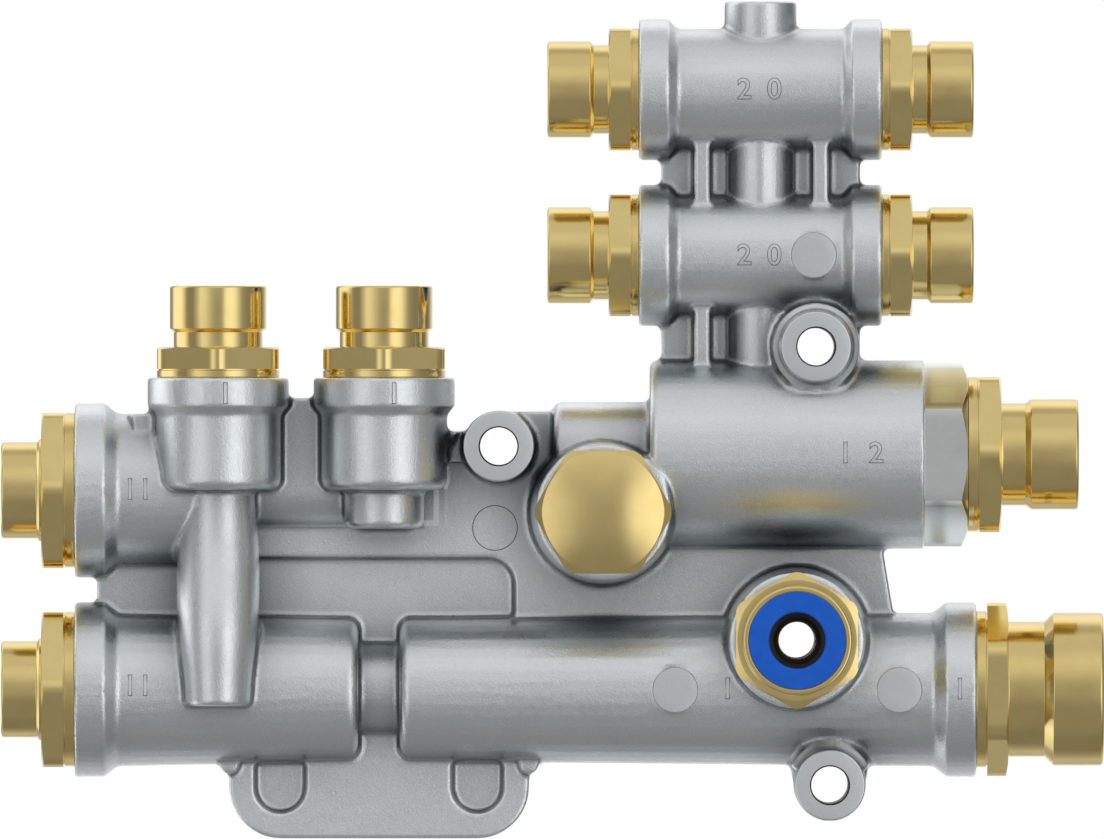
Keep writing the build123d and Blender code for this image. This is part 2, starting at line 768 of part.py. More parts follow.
    # Collars around the two right eyes, the lower one only where it meets the tube
    for (eye_x, eye_z), collar_drop, collar_start, collar_arc in EYE_COLLARS:
        collar_level = EYE_DEPTH - AXIS_DEPTH - collar_drop
        collar_outline = (
            (0, 0),
            (EYE_COLLAR_R, 0),
            (EYE_COLLAR_R, collar_level),
            (0, collar_level),
        )
        collar_rounds = [((EYE_COLLAR_R, collar_level), EYE_COLLAR_ROUND)]
        across = tuple(Vector(*RIGHTWARD).rotate(Axis((0, 0, 0), FORWARD), collar_start))
        turn(spot(eye_x, 0, eye_z), FORWARD, across, collar_outline, arc=collar_arc, rounds=collar_rounds)

    # Flat pads of the ejector pins
    for pad_x, pad_z, pad_level in PADS:
        pad = spot(pad_x, 0, pad_z)
        rod(pad, FORWARD, RIGHTWARD, PAD_R, 0, pad_level)
        rod(pad, FORWARD, RIGHTWARD, PAD_R, pad_level, AXIS_DEPTH, Mode.SUBTRACT)

    # Bolt holes
    with BuildSketch(Plane.XZ):
        with Locations(*EYES):
            Circle(EYE_HOLE_R)
    extrude(amount=EYE_DEPTH, mode=Mode.SUBTRACT)

    # Threaded ports with their seal recesses
    for port in PORTS:
        if port.name == "upper_outlet":
            continue
        thread_r = port.size.thread_r
        depth = port.size.shank + THREAD_EXTRA
        rod(port.point, port.way, port.corner, thread_r, -depth, 0, Mode.SUBTRACT)
        rod(port.point, port.way, port.corner, thread_r + SEAL_WIDTH, -SEAL_DEPTH, 0, Mode.SUBTRACT)

    # Passages of the upper circuit: gallery, feed, cup bore, plug chamber and link to the shuttle
    gallery = spot(0, GALLERY_LEVEL, UPPER_Z)
    rod(gallery, RIGHTWARD, UPWARD, GALLERY_R, LEFT_X, GALLERY_END_X, Mode.SUBTRACT)
    rod(feed, RIGHTWARD, UPWARD, FEED_R, GALLERY_END_X - FEED_R, PLUG_X, Mode.SUBTRACT)
    rod(cup, UPWARD, RIGHTWARD, CUP_BORE_R, CUP_BORE_END_Z, 0, Mode.SUBTRACT)
    plug_bore = (
        (0, PLUG_REAR_LEVEL),
        (PLUG_REAR_R, PLUG_REAR_LEVEL),
        (PLUG_REAR_R, PLUG_SEAT_LEVEL),
        (PLUG_BORE_R, PLUG_SEAT_LEVEL),
        (PLUG_BORE_R, BOSS_LEVEL - PLUG_SHANK - THREAD_EXTRA),
        (SMALL_THREAD_R, BOSS_LEVEL - PLUG_SHANK - THREAD_EXTRA),
        (SMALL_THREAD_R, BOSS_LEVEL - SEAL_DEPTH),
        (SMALL_THREAD_R + SEAL_WIDTH, BOSS_LEVEL - SEAL_DEPTH),
        (SMALL_THREAD_R + SEAL_WIDTH, BOSS_LEVEL),
        (0, BOSS_LEVEL),
    )
    turn(plug_point, FORWARD, RIGHTWARD, plug_bore, Mode.SUBTRACT)
    link = spot(0, LINK_LEVEL, LINK_Z)
    rod(link, RIGHTWARD, UPWARD, LINK_R, PLUG_X, SHUTTLE_CHAMBER_X + LINK_R, Mode.SUBTRACT)

    # Shuttle cylinder, with the thread for its insert
    shuttle_bore = (
        (0, SHUTTLE_CHAMBER_X),
        (SHUTTLE_CHAMBER_R, SHUTTLE_CHAMBER_X),
        (SHUTTLE_CHAMBER_R, SHUTTLE_SEAT_X),
        (SHUTTLE_BORE_R, SHUTTLE_SEAT_X),
        (SHUTTLE_BORE_R, INSERT_THREAD_X),
        (INSERT_THREAD_R, INSERT_THREAD_X),
        (INSERT_THREAD_R, LARGE_X[1] - SEAL_DEPTH),
        (INSERT_THREAD_R + SEAL_WIDTH, LARGE_X[1] - SEAL_DEPTH),
        (INSERT_THREAD_R + SEAL_WIDTH, LARGE_X[1]),
        (0, LARGE_X[1]),
    )
    turn(cylinders, RIGHTWARD, UPWARD, shuttle_bore, Mode.SUBTRACT)

    # Passages of the lower circuit: tube bores, the seat in the neck and the bore down from the upright
    lower_bore = (
        (0, LEFT_X),
        (LOWER_BORE_R, LEFT_X),
        (LOWER_BORE_R, LOWER_BORE_END_X),
        (SEAT_BORE_R, LOWER_BORE_END_X),
        (SEAT_BORE_R, CHECK_SEAT_X),
        (CHECK_BORE_R, CHECK_SEAT_X),
        (CHECK_BORE_R, RIGHT_X),
        (0, RIGHT_X),
    )
    turn(lower, RIGHTWARD, UPWARD, lower_bore, Mode.SUBTRACT)
    spring_face = SEAT_GAP + POPPET_SEAL + POPPET_PLATE + SPRING_LENGTH
    circlip_x = CHECK_SEAT_X + spring_face + RETAINER_THICK
    rod(lower, RIGHTWARD, UPWARD, CIRCLIP_GROOVE_R, circlip_x, circlip_x + CIRCLIP_GROOVE, Mode.SUBTRACT)
    rod(down_pipe, UPWARD, RIGHTWARD, DOWN_BORE_R, DOWN_BORE_END_Z, UPRIGHT_Z, Mode.SUBTRACT)
    rod(port_point, FORWARD, RIGHTWARD, SIGHT_BORE_R, -BOSS_LEVEL, BOSS_LEVEL, Mode.SUBTRACT)

    # Cross passages and the riser bore, with the seat for its closing ball
    for cross_z in (MIDDLE_Z, TOP_Z):
        rod(spot(0, 0, cross_z), RIGHTWARD, UPWARD, CROSS_BORE_R, CROSS_X[0], CROSS_X[1], Mode.SUBTRACT)
    rod(top, UPWARD, RIGHTWARD, RISER_BORE_R, CYLINDER_Z, RISER_TOP_Z, Mode.SUBTRACT)
    ball_z = RISER_TOP_Z - BALL_BELOW_TOP - BALL_R
    rod(top, UPWARD, RIGHTWARD, BALL_R, ball_z - BALL_R, RISER_TOP_Z, Mode.SUBTRACT)
save(housing, "housing")

# Fitting bodies
for port in PORTS:
    with BuildPart() as body:
        fitting_body(port)
    save(body, f"fitting_{port.name}")

# Release rings
for port in PORTS:
    with BuildPart() as cap:
        release_ring(port)
    save(cap, f"release_ring_{port.name}")

# Collars pressed into the fittings, which hold the release rings
with BuildPart() as retaining_collars:
    for port in PORTS:
        size = port.size
        ring(
            port,
            size.sleeve_r + SLIDE_GAP,
            size.chamber_r - PACKING_GAP,
            size.pocket - COLLAR_THICK,
            size.pocket,
        )
save(retaining_collars, "retaining_collars")

# Toothed washers that grip the tubes
with BuildPart() as grab_rings:
    for port in PORTS:
        size = port.size
        ring(port, size.pass_r, size.chamber_r - PACKING_GAP, size.grab_base, size.grab_base + GRAB_THICK)
save(grab_rings, "grab_rings")

# Seals around the tubes
with BuildPart() as tube_seals:
    for port in PORTS:
        size = port.size
        seal_end = size.grab_base - REST_GAP
        ring(port, size.pass_r, size.chamber_r - PACKING_GAP, seal_end - TUBE_SEAL_LENGTH, seal_end)
save(tube_seals, "tube_seals")

# Seals under the washer faces of the fittings
with BuildPart() as port_seals:
    for port in PORTS:
        thread_r = port.size.thread_r
        ring(port, thread_r + SEAL_GAP, thread_r + SEAL_WIDTH - SEAL_GAP, SEAL_GAP - SEAL_DEPTH, -SEAL_GAP)
save(port_seals, "port_seals")

# Ball that closes the drilled riser
with BuildPart() as riser_ball:
    with Locations(spot(RISER_X, 0, ball_z)):
        Sphere(BALL_R - BALL_GAP)
save(riser_ball, "riser_ball")

# Closing plug, guide for the upper check valve
plug_face = spot(PLUG_X, BOSS_LEVEL, PLUG_Z)
with BuildPart() as closing_plug:
    hexagon_block(
        plug_face, FORWARD, RIGHTWARD, PLUG_FLATS, PLUG_CORNER_R, PLUG_COLLAR, PLUG_HEAD, PLUG_CHAMFER
    )
    plug_outline = (
        (0, -PLUG_SHANK),
        (SMALL_THREAD_R - THREAD_GAP, -PLUG_SHANK),
        (SMALL_THREAD_R - THREAD_GAP, 0),
        (PLUG_FLATS / 2, 0),
        (PLUG_FLATS / 2, PLUG_COLLAR),
        (0, PLUG_COLLAR),
    )
    turn(plug_face, FORWARD, RIGHTWARD, plug_outline)
    rod(
        plug_face,
        FORWARD,
        RIGHTWARD,
        POPPET_STEM_R + STEM_GAP,
        -PLUG_SHANK,
        PLUG_GUIDE_DEPTH - PLUG_SHANK,
        Mode.SUBTRACT,
    )
save(closing_plug, "closing_plug")

with BuildPart() as plug_seal:
    turn(
        plug_face,
        FORWARD,
        RIGHTWARD,
        (
            (SMALL_THREAD_R + SEAL_GAP, SEAL_GAP - SEAL_DEPTH),
            (SMALL_THREAD_R + SEAL_WIDTH - SEAL_GAP, SEAL_GAP - SEAL_DEPTH),
            (SMALL_THREAD_R + SEAL_WIDTH - SEAL_GAP, -SEAL_GAP),
            (SMALL_THREAD_R + SEAL_GAP, -SEAL_GAP),
        ),
    )
save(plug_seal, "plug_seal")

# Insert that closes the shuttle cylinder and carries the upper outlet
insert_outline = (
    (0, INSERT_NOSE_X),
    (SHUTTLE_BORE_R - INSERT_NOSE_GAP, INSERT_NOSE_X),
    (SHUTTLE_BORE_R - INSERT_NOSE_GAP, INSERT_THREAD_X + THREAD_GAP),
    (INSERT_THREAD_R - THREAD_GAP, INSERT_THREAD_X + THREAD_GAP),
    (INSERT_THREAD_R - THREAD_GAP, LARGE_X[1]),
    (0, LARGE_X[1]),
)
insert_socket_x = INSERT_END_X - UPPER_OUTLET.shank - INSERT_THREAD_EXTRA
insert_bore = (
    (0, INSERT_NOSE_X),
    (INSERT_BORE_R, INSERT_NOSE_X),
    (INSERT_BORE_R, insert_socket_x),
    (LARGE_THREAD_R, insert_socket_x),
    (LARGE_THREAD_R, INSERT_END_X - SEAL_DEPTH),
    (LARGE_THREAD_R + SEAL_WIDTH, INSERT_END_X - SEAL_DEPTH),
    (LARGE_THREAD_R + SEAL_WIDTH, INSERT_END_X),
    (0, INSERT_END_X),
)
with BuildPart() as valve_insert:
    hexagon_block(
        cylinders,
        RIGHTWARD,
        UPWARD,
        INSERT_FLATS,
        INSERT_CORNER_R,
        LARGE_X[1],
        INSERT_END_X,
        INSERT_CHAMFER,
    )
    turn(cylinders, RIGHTWARD, UPWARD, insert_outline)
    turn(cylinders, RIGHTWARD, UPWARD, insert_bore, Mode.SUBTRACT)
save(valve_insert, "valve_insert")

with BuildPart() as insert_seal:
    turn(
        cylinders,
        RIGHTWARD,
        UPWARD,
        (
            (INSERT_THREAD_R + SEAL_GAP, LARGE_X[1] + SEAL_GAP - SEAL_DEPTH),
            (INSERT_THREAD_R + SEAL_WIDTH - SEAL_GAP, LARGE_X[1] + SEAL_GAP - SEAL_DEPTH),
            (INSERT_THREAD_R + SEAL_WIDTH - SEAL_GAP, LARGE_X[1] - SEAL_GAP),
            (INSERT_THREAD_R + SEAL_GAP, LARGE_X[1] - SEAL_GAP),
        ),
    )
save(insert_seal, "insert_seal")

# Shuttle: piston, sealing discs on both faces and a guide ring
shuttle_start = SHUTTLE_SEAT_X + DISC_GAP
shuttle_end = shuttle_start + SHUTTLE_LENGTH
shuttle_middle = (shuttle_start + shuttle_end) / 2
piston_r = SHUTTLE_BORE_R - SHUTTLE_GAP
groove_r = piston_r - GUIDE_RING_DEPTH
with BuildPart() as shuttle_piston:
    piston_outline = (
        (0, shuttle_start + DISC_THICK),
        (DISC_R, shuttle_start + DISC_THICK),
        (DISC_R, shuttle_start + DISC_PROUD),
        (piston_r, shuttle_start + DISC_PROUD),
        (piston_r, shuttle_middle - GUIDE_RING_WIDTH / 2),
        (groove_r, shuttle_middle - GUIDE_RING_WIDTH / 2),
        (groove_r, shuttle_middle + GUIDE_RING_WIDTH / 2),
        (piston_r, shuttle_middle + GUIDE_RING_WIDTH / 2),
        (piston_r, shuttle_end - DISC_PROUD),
        (DISC_R, shuttle_end - DISC_PROUD),
        (DISC_R, shuttle_end - DISC_THICK),
        (0, shuttle_end - DISC_THICK),
    )
    turn(cylinders, RIGHTWARD, UPWARD, piston_outline)
save(shuttle_piston, "shuttle_piston")

with BuildPart() as shuttle_discs:
    disc_r = DISC_R - PACKING_GAP
    rod(cylinders, RIGHTWARD, UPWARD, disc_r, shuttle_start, shuttle_start + DISC_THICK)
    rod(cylinders, RIGHTWARD, UPWARD, disc_r, shuttle_end - DISC_THICK, shuttle_end)
save(shuttle_discs, "shuttle_discs")

with BuildPart() as shuttle_guide_ring:
    guide_half = GUIDE_RING_WIDTH / 2 - PACKING_GAP
    guide_outline = (
        (groove_r + PACKING_GAP, shuttle_middle - guide_half),
        (SHUTTLE_BORE_R - GUIDE_RING_GAP, shuttle_middle - guide_half),
        (SHUTTLE_BORE_R - GUIDE_RING_GAP, shuttle_middle + guide_half),
        (groove_r + PACKING_GAP, shuttle_middle + guide_half),
    )
    turn(cylinders, RIGHTWARD, UPWARD, guide_outline)
save(shuttle_guide_ring, "shuttle_guide_ring")

# Check valves: upper one under the closing plug, lower one right of the neck
upper_seat = spot(PLUG_X, PLUG_SEAT_LEVEL, PLUG_Z)
lower_seat = spot(CHECK_SEAT_X, 0, LOWER_Z)
for name, seat, way, across in (
    ("upper", upper_seat, FORWARD, RIGHTWARD),
    ("lower", lower_seat, RIGHTWARD, UPWARD),
):
    with BuildPart() as check_poppet:
        poppet(seat, way, across)
    save(check_poppet, f"{name}_check_poppet")
    with BuildPart() as check_seal:
        rod(seat, way, across, POPPET_R - PACKING_GAP, SEAT_GAP, SEAT_GAP + POPPET_SEAL)
    save(check_seal, f"{name}_check_seal")
    with BuildPart() as spring:
        check_spring(seat, way)
    save(spring, f"{name}_check_spring")

# Retainer that guides the lower poppet's stem, with flow holes, and the circlip that holds it
retainer_x = CHECK_SEAT_X + spring_face
with BuildPart() as spring_retainer:
    with BuildSketch(Plane(origin=(retainer_x, -AXIS_DEPTH, LOWER_Z), x_dir=UPWARD, z_dir=RIGHTWARD)):
        Circle(CHECK_BORE_R - RETAINER_GAP)
        Circle(POPPET_STEM_R + STEM_GAP, mode=Mode.SUBTRACT)
        with PolarLocations((RETAINER_HUB_R + CHECK_BORE_R) / 2, RETAINER_HOLES):
            Circle(RETAINER_HOLE_R, mode=Mode.SUBTRACT)
    extrude(amount=RETAINER_THICK)
save(spring_retainer, "spring_retainer")

with BuildPart() as circlip:
    circlip_start = circlip_x + REST_GAP / 2
    circlip_end = circlip_start + CIRCLIP_THICK
    circlip_outline = (
        (CIRCLIP_R[0], circlip_start),
        (CIRCLIP_R[1], circlip_start),
        (CIRCLIP_R[1], circlip_end),
        (CIRCLIP_R[0], circlip_end),
    )
    turn(lower, RIGHTWARD, UPWARD, circlip_outline, arc=CIRCLIP_ARC)
save(circlip, "circlip")
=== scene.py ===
import json
import math
from dataclasses import dataclass

import bmesh
import bpy
import numpy as np
import openvdb
from mathutils import Matrix, Vector
from mathutils.bvhtree import BVHTree


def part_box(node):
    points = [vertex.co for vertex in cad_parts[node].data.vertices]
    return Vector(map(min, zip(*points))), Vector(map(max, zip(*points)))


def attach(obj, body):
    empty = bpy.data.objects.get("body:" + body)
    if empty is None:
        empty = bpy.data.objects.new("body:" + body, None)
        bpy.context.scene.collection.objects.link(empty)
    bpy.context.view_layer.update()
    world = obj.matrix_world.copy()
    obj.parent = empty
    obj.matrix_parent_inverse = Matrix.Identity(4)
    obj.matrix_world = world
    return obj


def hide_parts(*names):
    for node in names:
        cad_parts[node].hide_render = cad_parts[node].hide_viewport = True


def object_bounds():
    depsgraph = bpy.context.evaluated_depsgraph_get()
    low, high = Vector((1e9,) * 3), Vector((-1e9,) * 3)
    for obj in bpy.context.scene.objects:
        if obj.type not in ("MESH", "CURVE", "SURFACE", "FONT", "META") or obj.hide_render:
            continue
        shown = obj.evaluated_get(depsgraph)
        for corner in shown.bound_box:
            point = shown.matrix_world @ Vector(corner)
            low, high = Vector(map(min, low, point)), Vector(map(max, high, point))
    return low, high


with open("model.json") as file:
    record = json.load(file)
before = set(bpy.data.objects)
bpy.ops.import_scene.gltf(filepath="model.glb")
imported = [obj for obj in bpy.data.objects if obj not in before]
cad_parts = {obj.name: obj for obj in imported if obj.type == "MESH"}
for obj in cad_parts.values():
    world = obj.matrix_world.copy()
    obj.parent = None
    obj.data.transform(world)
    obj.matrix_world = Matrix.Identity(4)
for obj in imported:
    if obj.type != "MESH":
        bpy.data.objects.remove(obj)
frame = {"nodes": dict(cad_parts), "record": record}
cad_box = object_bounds()

# Places are in metres. MM turns the millimetres of the drawing into metres.
MM = 0.001

# Photograph: its size in pixels, the frame's origin in it, its scale at the plane of the tube
# axes, and that plane
PHOTO_SIZE = (1104, 839)
ORIGIN_PIXEL = (498.7, 446.2)
PIXEL = 0.224 * MM
TUBE_PLANE_Y = -22.5 * MM

# Camera: its lens and the width of its sensor in millimetres, and how far it sees in metres
LENS = 1200
SENSOR = 36
CAMERA_REACH = 50

# Soft lamps in metres: the point that they all look at, and the place, size and watts of each
LAMP_AIM = (0, -0.03, 0)
LAMPS = {
    "top_lamp": ((0.0, -0.45, 0.9), (0.9, 0.5), 5),
    "left_lamp": ((-0.8, -0.6, 0.35), (0.4, 0.7), 3.5),
    "right_lamp": ((0.85, -0.5, 0.3), (0.35, 0.7), 3),
}

# Floor in metres, well below the part, as the photograph shows none, and where it starts to fade
FLOOR_Z = -130 * MM
FLOOR_R = 2.4
FLOOR_FADE_R = 0.4 * FLOOR_R
FLOOR_DULL = (0.80, 0.80, 0.80)
FLOOR_PALE = (0.84, 0.84, 0.84)

RIGHTWARD = Vector((1, 0, 0))
UPWARD = Vector((0, 0, 1))
FORWARD = Vector((0, -1, 0))
BACKWARD = Vector((0, 1, 0))

# Turned and milled pieces: how finely they are divided, the angle from which an edge is sharp,
# and the share of a side that the rounding of its corner may take
SEGMENTS = 96
ARC_STEP = math.radians(15)
CHAMFER_ROWS = 6
SHARP_ANGLE = math.radians(35)
ROUNDING_SHARE = 0.48

# Cone on the outer end of a hexagon, in millimetres: how far inside the flats it ends, and its
# height on a fitting, on the plug and on the insert
HEX_FACE_INSET = 0.25
FITTING_CHAMFER = 0.55
PLUG_CHAMFER = 1.15
INSERT_CHAMFER = 1.5

# Casting: grid that it is rounded on and its margin in cells, radii of its hollows and crests,
# its triangles before the cuts, and the angle from which its edges are sharp
GRID = 0.4 * MM
GRID_MARGIN = 3
HOLLOW_RADIUS = 0.85 * MM
CREST_RADIUS = 0.35 * MM
CAST_TRIANGLES = 190000
CAST_SHARP_ANGLE = math.radians(50)

# Machined eyes: their mounts, and in millimetres their hole, face and recess in the casting
EYE_MOUNTS = ("eye_middle", "eye_upper", "eye_lower")
EYE_HOLE_R = 4.2
EYE_FACE_R = 7.85
EYE_LIP = 1.0
EYE_CHAMFER = 0.3
EYE_EDGE = 0.35
EYE_CORE_R = 4.8
EYE_GAP = 0.04

# Marks of the ejector pins, in millimetres: the pad and the recess that it sits in, half the
# width of the fine line round a flush mark, how deep it goes and how far it stands out, and
# the x, z and level in front of the tube axes of each mark
PIN_R = 5.0
PIN_GAP = 0.12
PIN_DROP = 0.8
PIN_CUT_ABOVE = 4 * PIN_DROP
PIN_ROOT = 2.0
PIN_EDGE = 0.08
PIN_LINE = 0.09
PIN_LINE_DEPTH = 0.3
PIN_LINE_PROUD = 0.03
PIN_PADS = ((70.5, 42.72, 13.3), (39.5, -54.48, 16.4), (89.6, -54.48, 16.85))
PIN_OUTLINE = (-0.83, -18.3, 4.0)

# Down pipe where it leans forward over the lower tube, in millimetres: the level of its axis
# and its radius at its top, belly and end, and the heights between which each of them changes
PIPE_X = -62.75
PIPE_Z = (-9.0, -58.1)
PIPE_LEVEL = (10.6, 17.3)
PIPE_LEAN_Z = (-18.0, -46.0)
PIPE_TOP_R = 8.2
PIPE_BELLY_R = 9.25
PIPE_END_R = 7.3
PIPE_SWELL_Z = (-10.0, -27.0)
PIPE_TAPER_Z = (-32.0, -60.0)
PIPE_BACK = 10.5
PIPE_END_ROUND = 1.2

# Riser between the tubes that it joins, in millimetres
RISER_X = 58.64
RISER_R = 7.9
RISER_SPANS = ((12.5, 30.7), (54.7, 67.9))

# Where the end of the gallery rail is cut off beside the cup, in millimetres: x, level and z,
# and how finely the cut is divided
RAIL_CUT = ((-16.7, -10.0), (4.03, 10.4), (-20.5, -9.6))
RAIL_CUT_STEP = 0.5

# A point this far inside the sharp casting, in millimetres, lies on a cut face and has no relief
CUT_DEPTH = 1.2


@dataclass(frozen=True)
class FittingSize:
    """Push-in fitting from its seat face outwards, in millimetres."""

    tube_r: float
    thread_r: float
    shank: float
    washer_r: float
    washer: float
    flats: float
    corner_r: float
    hexagon: float
    neck_r: float
    neck: float
    slope: float
    head_r: float
    head: float
    cap_r: float

    @property
    def length(self):
        return self.washer + self.hexagon + self.neck + self.slope + self.head


CROSS = FittingSize(
    tube_r=6.0, thread_r=10.95, shank=9.5, washer_r=13.75, washer=1.9, flats=27.2, corner_r=15.25,
    hexagon=4.9, neck_r=9.97, neck=3.3, slope=0.8, head_r=10.83, head=9.6, cap_r=9.5,
)
INLET = FittingSize(
    tube_r=6.0, thread_r=12.95, shank=10.5, washer_r=17.4, washer=2.55, flats=34.6, corner_r=19.4,
    hexagon=4.9, neck_r=11.5, neck=0.5, slope=0.6, head_r=10.83, head=7.95, cap_r=9.5,
)
UPPER_OUTLET = FittingSize(
    tube_r=7.5, thread_r=12.95, shank=8.5, washer_r=17.4, washer=2.6, flats=34.6, corner_r=19.4,
    hexagon=4.9, neck_r=11.5, neck=5.4, slope=1.3, head_r=12.4, head=10.6, cap_r=11.0,
)
LOWER_OUTLET = FittingSize(
    tube_r=9.0, thread_r=12.95, shank=10.5, washer_r=17.6, washer=2.5, flats=34.7, corner_r=19.4,
    hexagon=4.7, neck_r=15.2, neck=8.0, slope=2.1, head_r=17.2, head=11.2, cap_r=14.5,
)
SIDE = FittingSize(
    tube_r=6.0, thread_r=10.95, shank=8.5, washer_r=13.75, washer=1.9, flats=27.2, corner_r=15.25,
    hexagon=4.9, neck_r=11.4, neck=2.4, slope=0.8, head_r=12.3, head=8.4, cap_r=10.9,
)

# What all fittings share, in millimetres. SKIN is how far past a wall a face still counts as
# part of it.
TUBE_GAP = 0.1
PASS_GAP = 0.3
SLEEVE_WALL = 1.3
SLIDE_GAP = 0.1
COLLAR_WALL = 1.2
COLLAR_THICK = 1.6
CAP_THICK = 2.0
CAP_LIP = 0.5
RING_TRAVEL = 1.2
BARB_HEIGHT = 0.7
BARB_LENGTH = 1.0
REST_GAP = 0.1
GRAB_THICK = 0.8
SEAL_LENGTH = 2.4
SEAL_LIP = 1.3
SEAL_LIP_ROOT = 0.8
SEAL_LIP_TIP_DEPTH = 0.9
SEAL_LIP_BACK_DEPTH = 1.4
PACKING_GAP = 0.03
SOCKET_LENGTH = 4.0
TUBE_WALL = 1.9
WASHER_STEP = 0.3
NECK_FILLET = 1.1
NECK_FILLET_SHARE = 0.4
THREAD_EDGE = 0.9
SHOULDER_EDGE = 0.45
HEAD_EDGE = 0.8
SKIN = 0.01
POCKET = CAP_THICK + RING_TRAVEL
GRAB_BASE = POCKET + COLLAR_THICK + BARB_LENGTH + RING_TRAVEL + 2 * REST_GAP + GRAB_THICK
STOP = GRAB_BASE + SEAL_LENGTH + 2 * REST_GAP + SOCKET_LENGTH

# Each port: the size of its fitting and the way that a corner of its hexagon points
PORTS = {
    "top_left": (CROSS, FORWARD),
    "top_right": (CROSS, FORWARD),
    "middle_left": (CROSS, FORWARD),
    "middle_right": (CROSS, FORWARD),
    "upright_left": (CROSS, FORWARD),
    "upright_right": (CROSS, FORWARD),
    "upper_inlet": (INLET, FORWARD),
    "lower_inlet": (INLET, FORWARD),
    "upper_outlet": (UPPER_OUTLET, FORWARD),
    "lower_outlet": (LOWER_OUTLET, UPWARD),
    "front": (SIDE, UPWARD),
    "rear": (SIDE, UPWARD),
}

# Closing plug and insert, in millimetres from their seat faces
PLUG_PLACE = Vector((23.36, -43.5, -14.67)) * MM
PLUG_SHANK = 7.5
PLUG_SHANK_R = 10.95
PLUG_GUIDE_R = 3.1
PLUG_GUIDE_DEPTH = 7.0
PLUG_COLLAR = 1.6
PLUG_HEAD = 7.5
PLUG_FLATS = 27.5
PLUG_CORNER_R = 15.25
INSERT_PLACE = Vector((95.3, -22.5, -1.88)) * MM
INSERT_HEAD = 9.7
INSERT_FLATS = 36.0
INSERT_CORNER_R = 20.55
INSERT_THREAD = 15.8
INSERT_THREAD_R = 14.95
INSERT_NOSE = 23.3
INSERT_NOSE_R = 11.9
INSERT_BORE_R = 6.0
INSERT_SOCKET = 0.4
INSERT_SOCKET_R = 13.0

# Plain numbers cast on the housing: digit, x and z of its middle, in millimetres. Below them
# are their height, also as a share of the font's size, and how they stand off the surface.
NUMERALS = (
    ("2", 54.96, 79.7),
    ("0", 61.67, 79.7),
    ("2", 54.96, 42.6),
    ("0", 61.67, 42.6),
    ("1", -61.0, 11.6),
    ("1", -23.3, 11.6),
    ("1", -82.4, -9.8),
    ("1", -79.0, -9.8),
    ("1", -82.4, -53.7),
    ("1", -79.0, -53.7),
    ("1", 77.5, -1.65),
    ("2", 84.4, -1.65),
    ("1", 51.2, -54.4),
    ("1", 103.1, -54.4),
)
NUMERAL_SIZE = 4.6 * MM
NUMERAL_SHARE = 0.7
NUMERAL_CURVE_STEPS = 6
NUMERAL_HEIGHT = 0.25 * MM
NUMERAL_ROOT = 0.3 * MM
NUMERAL_FOOT = 0.03 * MM
NUMERAL_EDGE = 0.17 * MM
NUMERAL_FRONT = 0.86
RAY_START = 10 * MM


def mount(name):
    """Mount of the record by its name."""
    return next(m for m in frame["record"]["mounts"] if m["name"] == name)


def seat_of(port):
    """Seat centre of a port and the way its fitting looks, from the mount of its tube's socket."""
    size = PORTS[port][0]
    socket = mount(f"tube_{port}")
    way = Vector(socket["axis"])
    middle = size.length - STOP + SOCKET_LENGTH / 2
    return Vector(socket["pos_m"]) - way * middle * MM, way


def seating(origin, way, across):
    """Matrix that sets a piece's own z along way and its own x along across."""
    turn = Matrix((across, way.cross(across), way)).transposed()
    return Matrix.Translation(origin) @ turn.to_4x4()


def smooth(mesh, sharp_angle):
    """Turn a mesh's faces outwards and smooth it, but for the edges where they meet steeply."""
    shape = bmesh.new()
    shape.from_mesh(mesh)
    bmesh.ops.recalc_face_normals(shape, faces=shape.faces)
    shape.to_mesh(mesh)
    shape.free()
    mesh.polygons.foreach_set("use_smooth", [True] * len(mesh.polygons))
    mesh.set_sharp_from_angle(angle=sharp_angle)


def new_piece(name, vertices, faces, materials, face_materials=None):
    """Smooth mesh object of its own, with the material that each face takes."""
    mesh = bpy.data.meshes.new(name)
    mesh.from_pydata(vertices, [], faces)
    for material in materials:
        mesh.materials.append(material)
    if face_materials is not None:
        mesh.polygons.foreach_set("material_index", face_materials)
    smooth(mesh, SHARP_ANGLE)
    return add_object(name, mesh)


def add_object(name, data):
    """Object of its own in the scene, with this data."""
    added = bpy.data.objects.new(name, data)
    bpy.context.scene.collection.objects.link(added)
    return added


def settle(piece, body, slot, *nodes):
    """Hang a piece on the body that it rides on and hide the nodes that it stands for; slot, the name of
    its finish, is not used.
    """
    if nodes:
        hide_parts(*nodes)
    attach(piece, body)


def arc(corner, before, after, rounding):
    """Points of the arc that rounds one corner of a flat outline."""
    to_before = before - corner
    to_after = after - corner
    half = to_before.angle(to_after) / 2
    longest = ROUNDING_SHARE * min(to_before.length, to_after.length)
    reach = min(rounding / math.tan(half), longest)
    radius = reach * math.tan(half)
    middle = (to_before.normalized() + to_after.normalized()).normalized()
    centre = corner + middle * radius / math.sin(half)
    start = corner + to_before.normalized() * reach - centre
    end = corner + to_after.normalized() * reach - centre
    first = math.atan2(start.y, start.x)
    sweep = (math.atan2(end.y, end.x) - first + math.pi) % (2 * math.pi) - math.pi
    steps = max(2, math.ceil(abs(sweep) / ARC_STEP))
    angles = [first + sweep * step / steps for step in range(steps + 1)]
    return [centre + Vector((math.cos(a), math.sin(a))) * radius for a in angles]


def rounded(outline):
    """Points of a closed outline of (radius, height, rounding) corners, in one list per corner."""
    corners = [Vector(corner[:2]) for corner in outline]
    groups = []
    for index, corner in enumerate(corners):
        rounding = outline[index][2]
        if rounding:
            after = corners[(index + 1) % len(corners)]
            groups.append(arc(corner, corners[index - 1], after, rounding))
        else:
            groups.append([corner])
    return groups


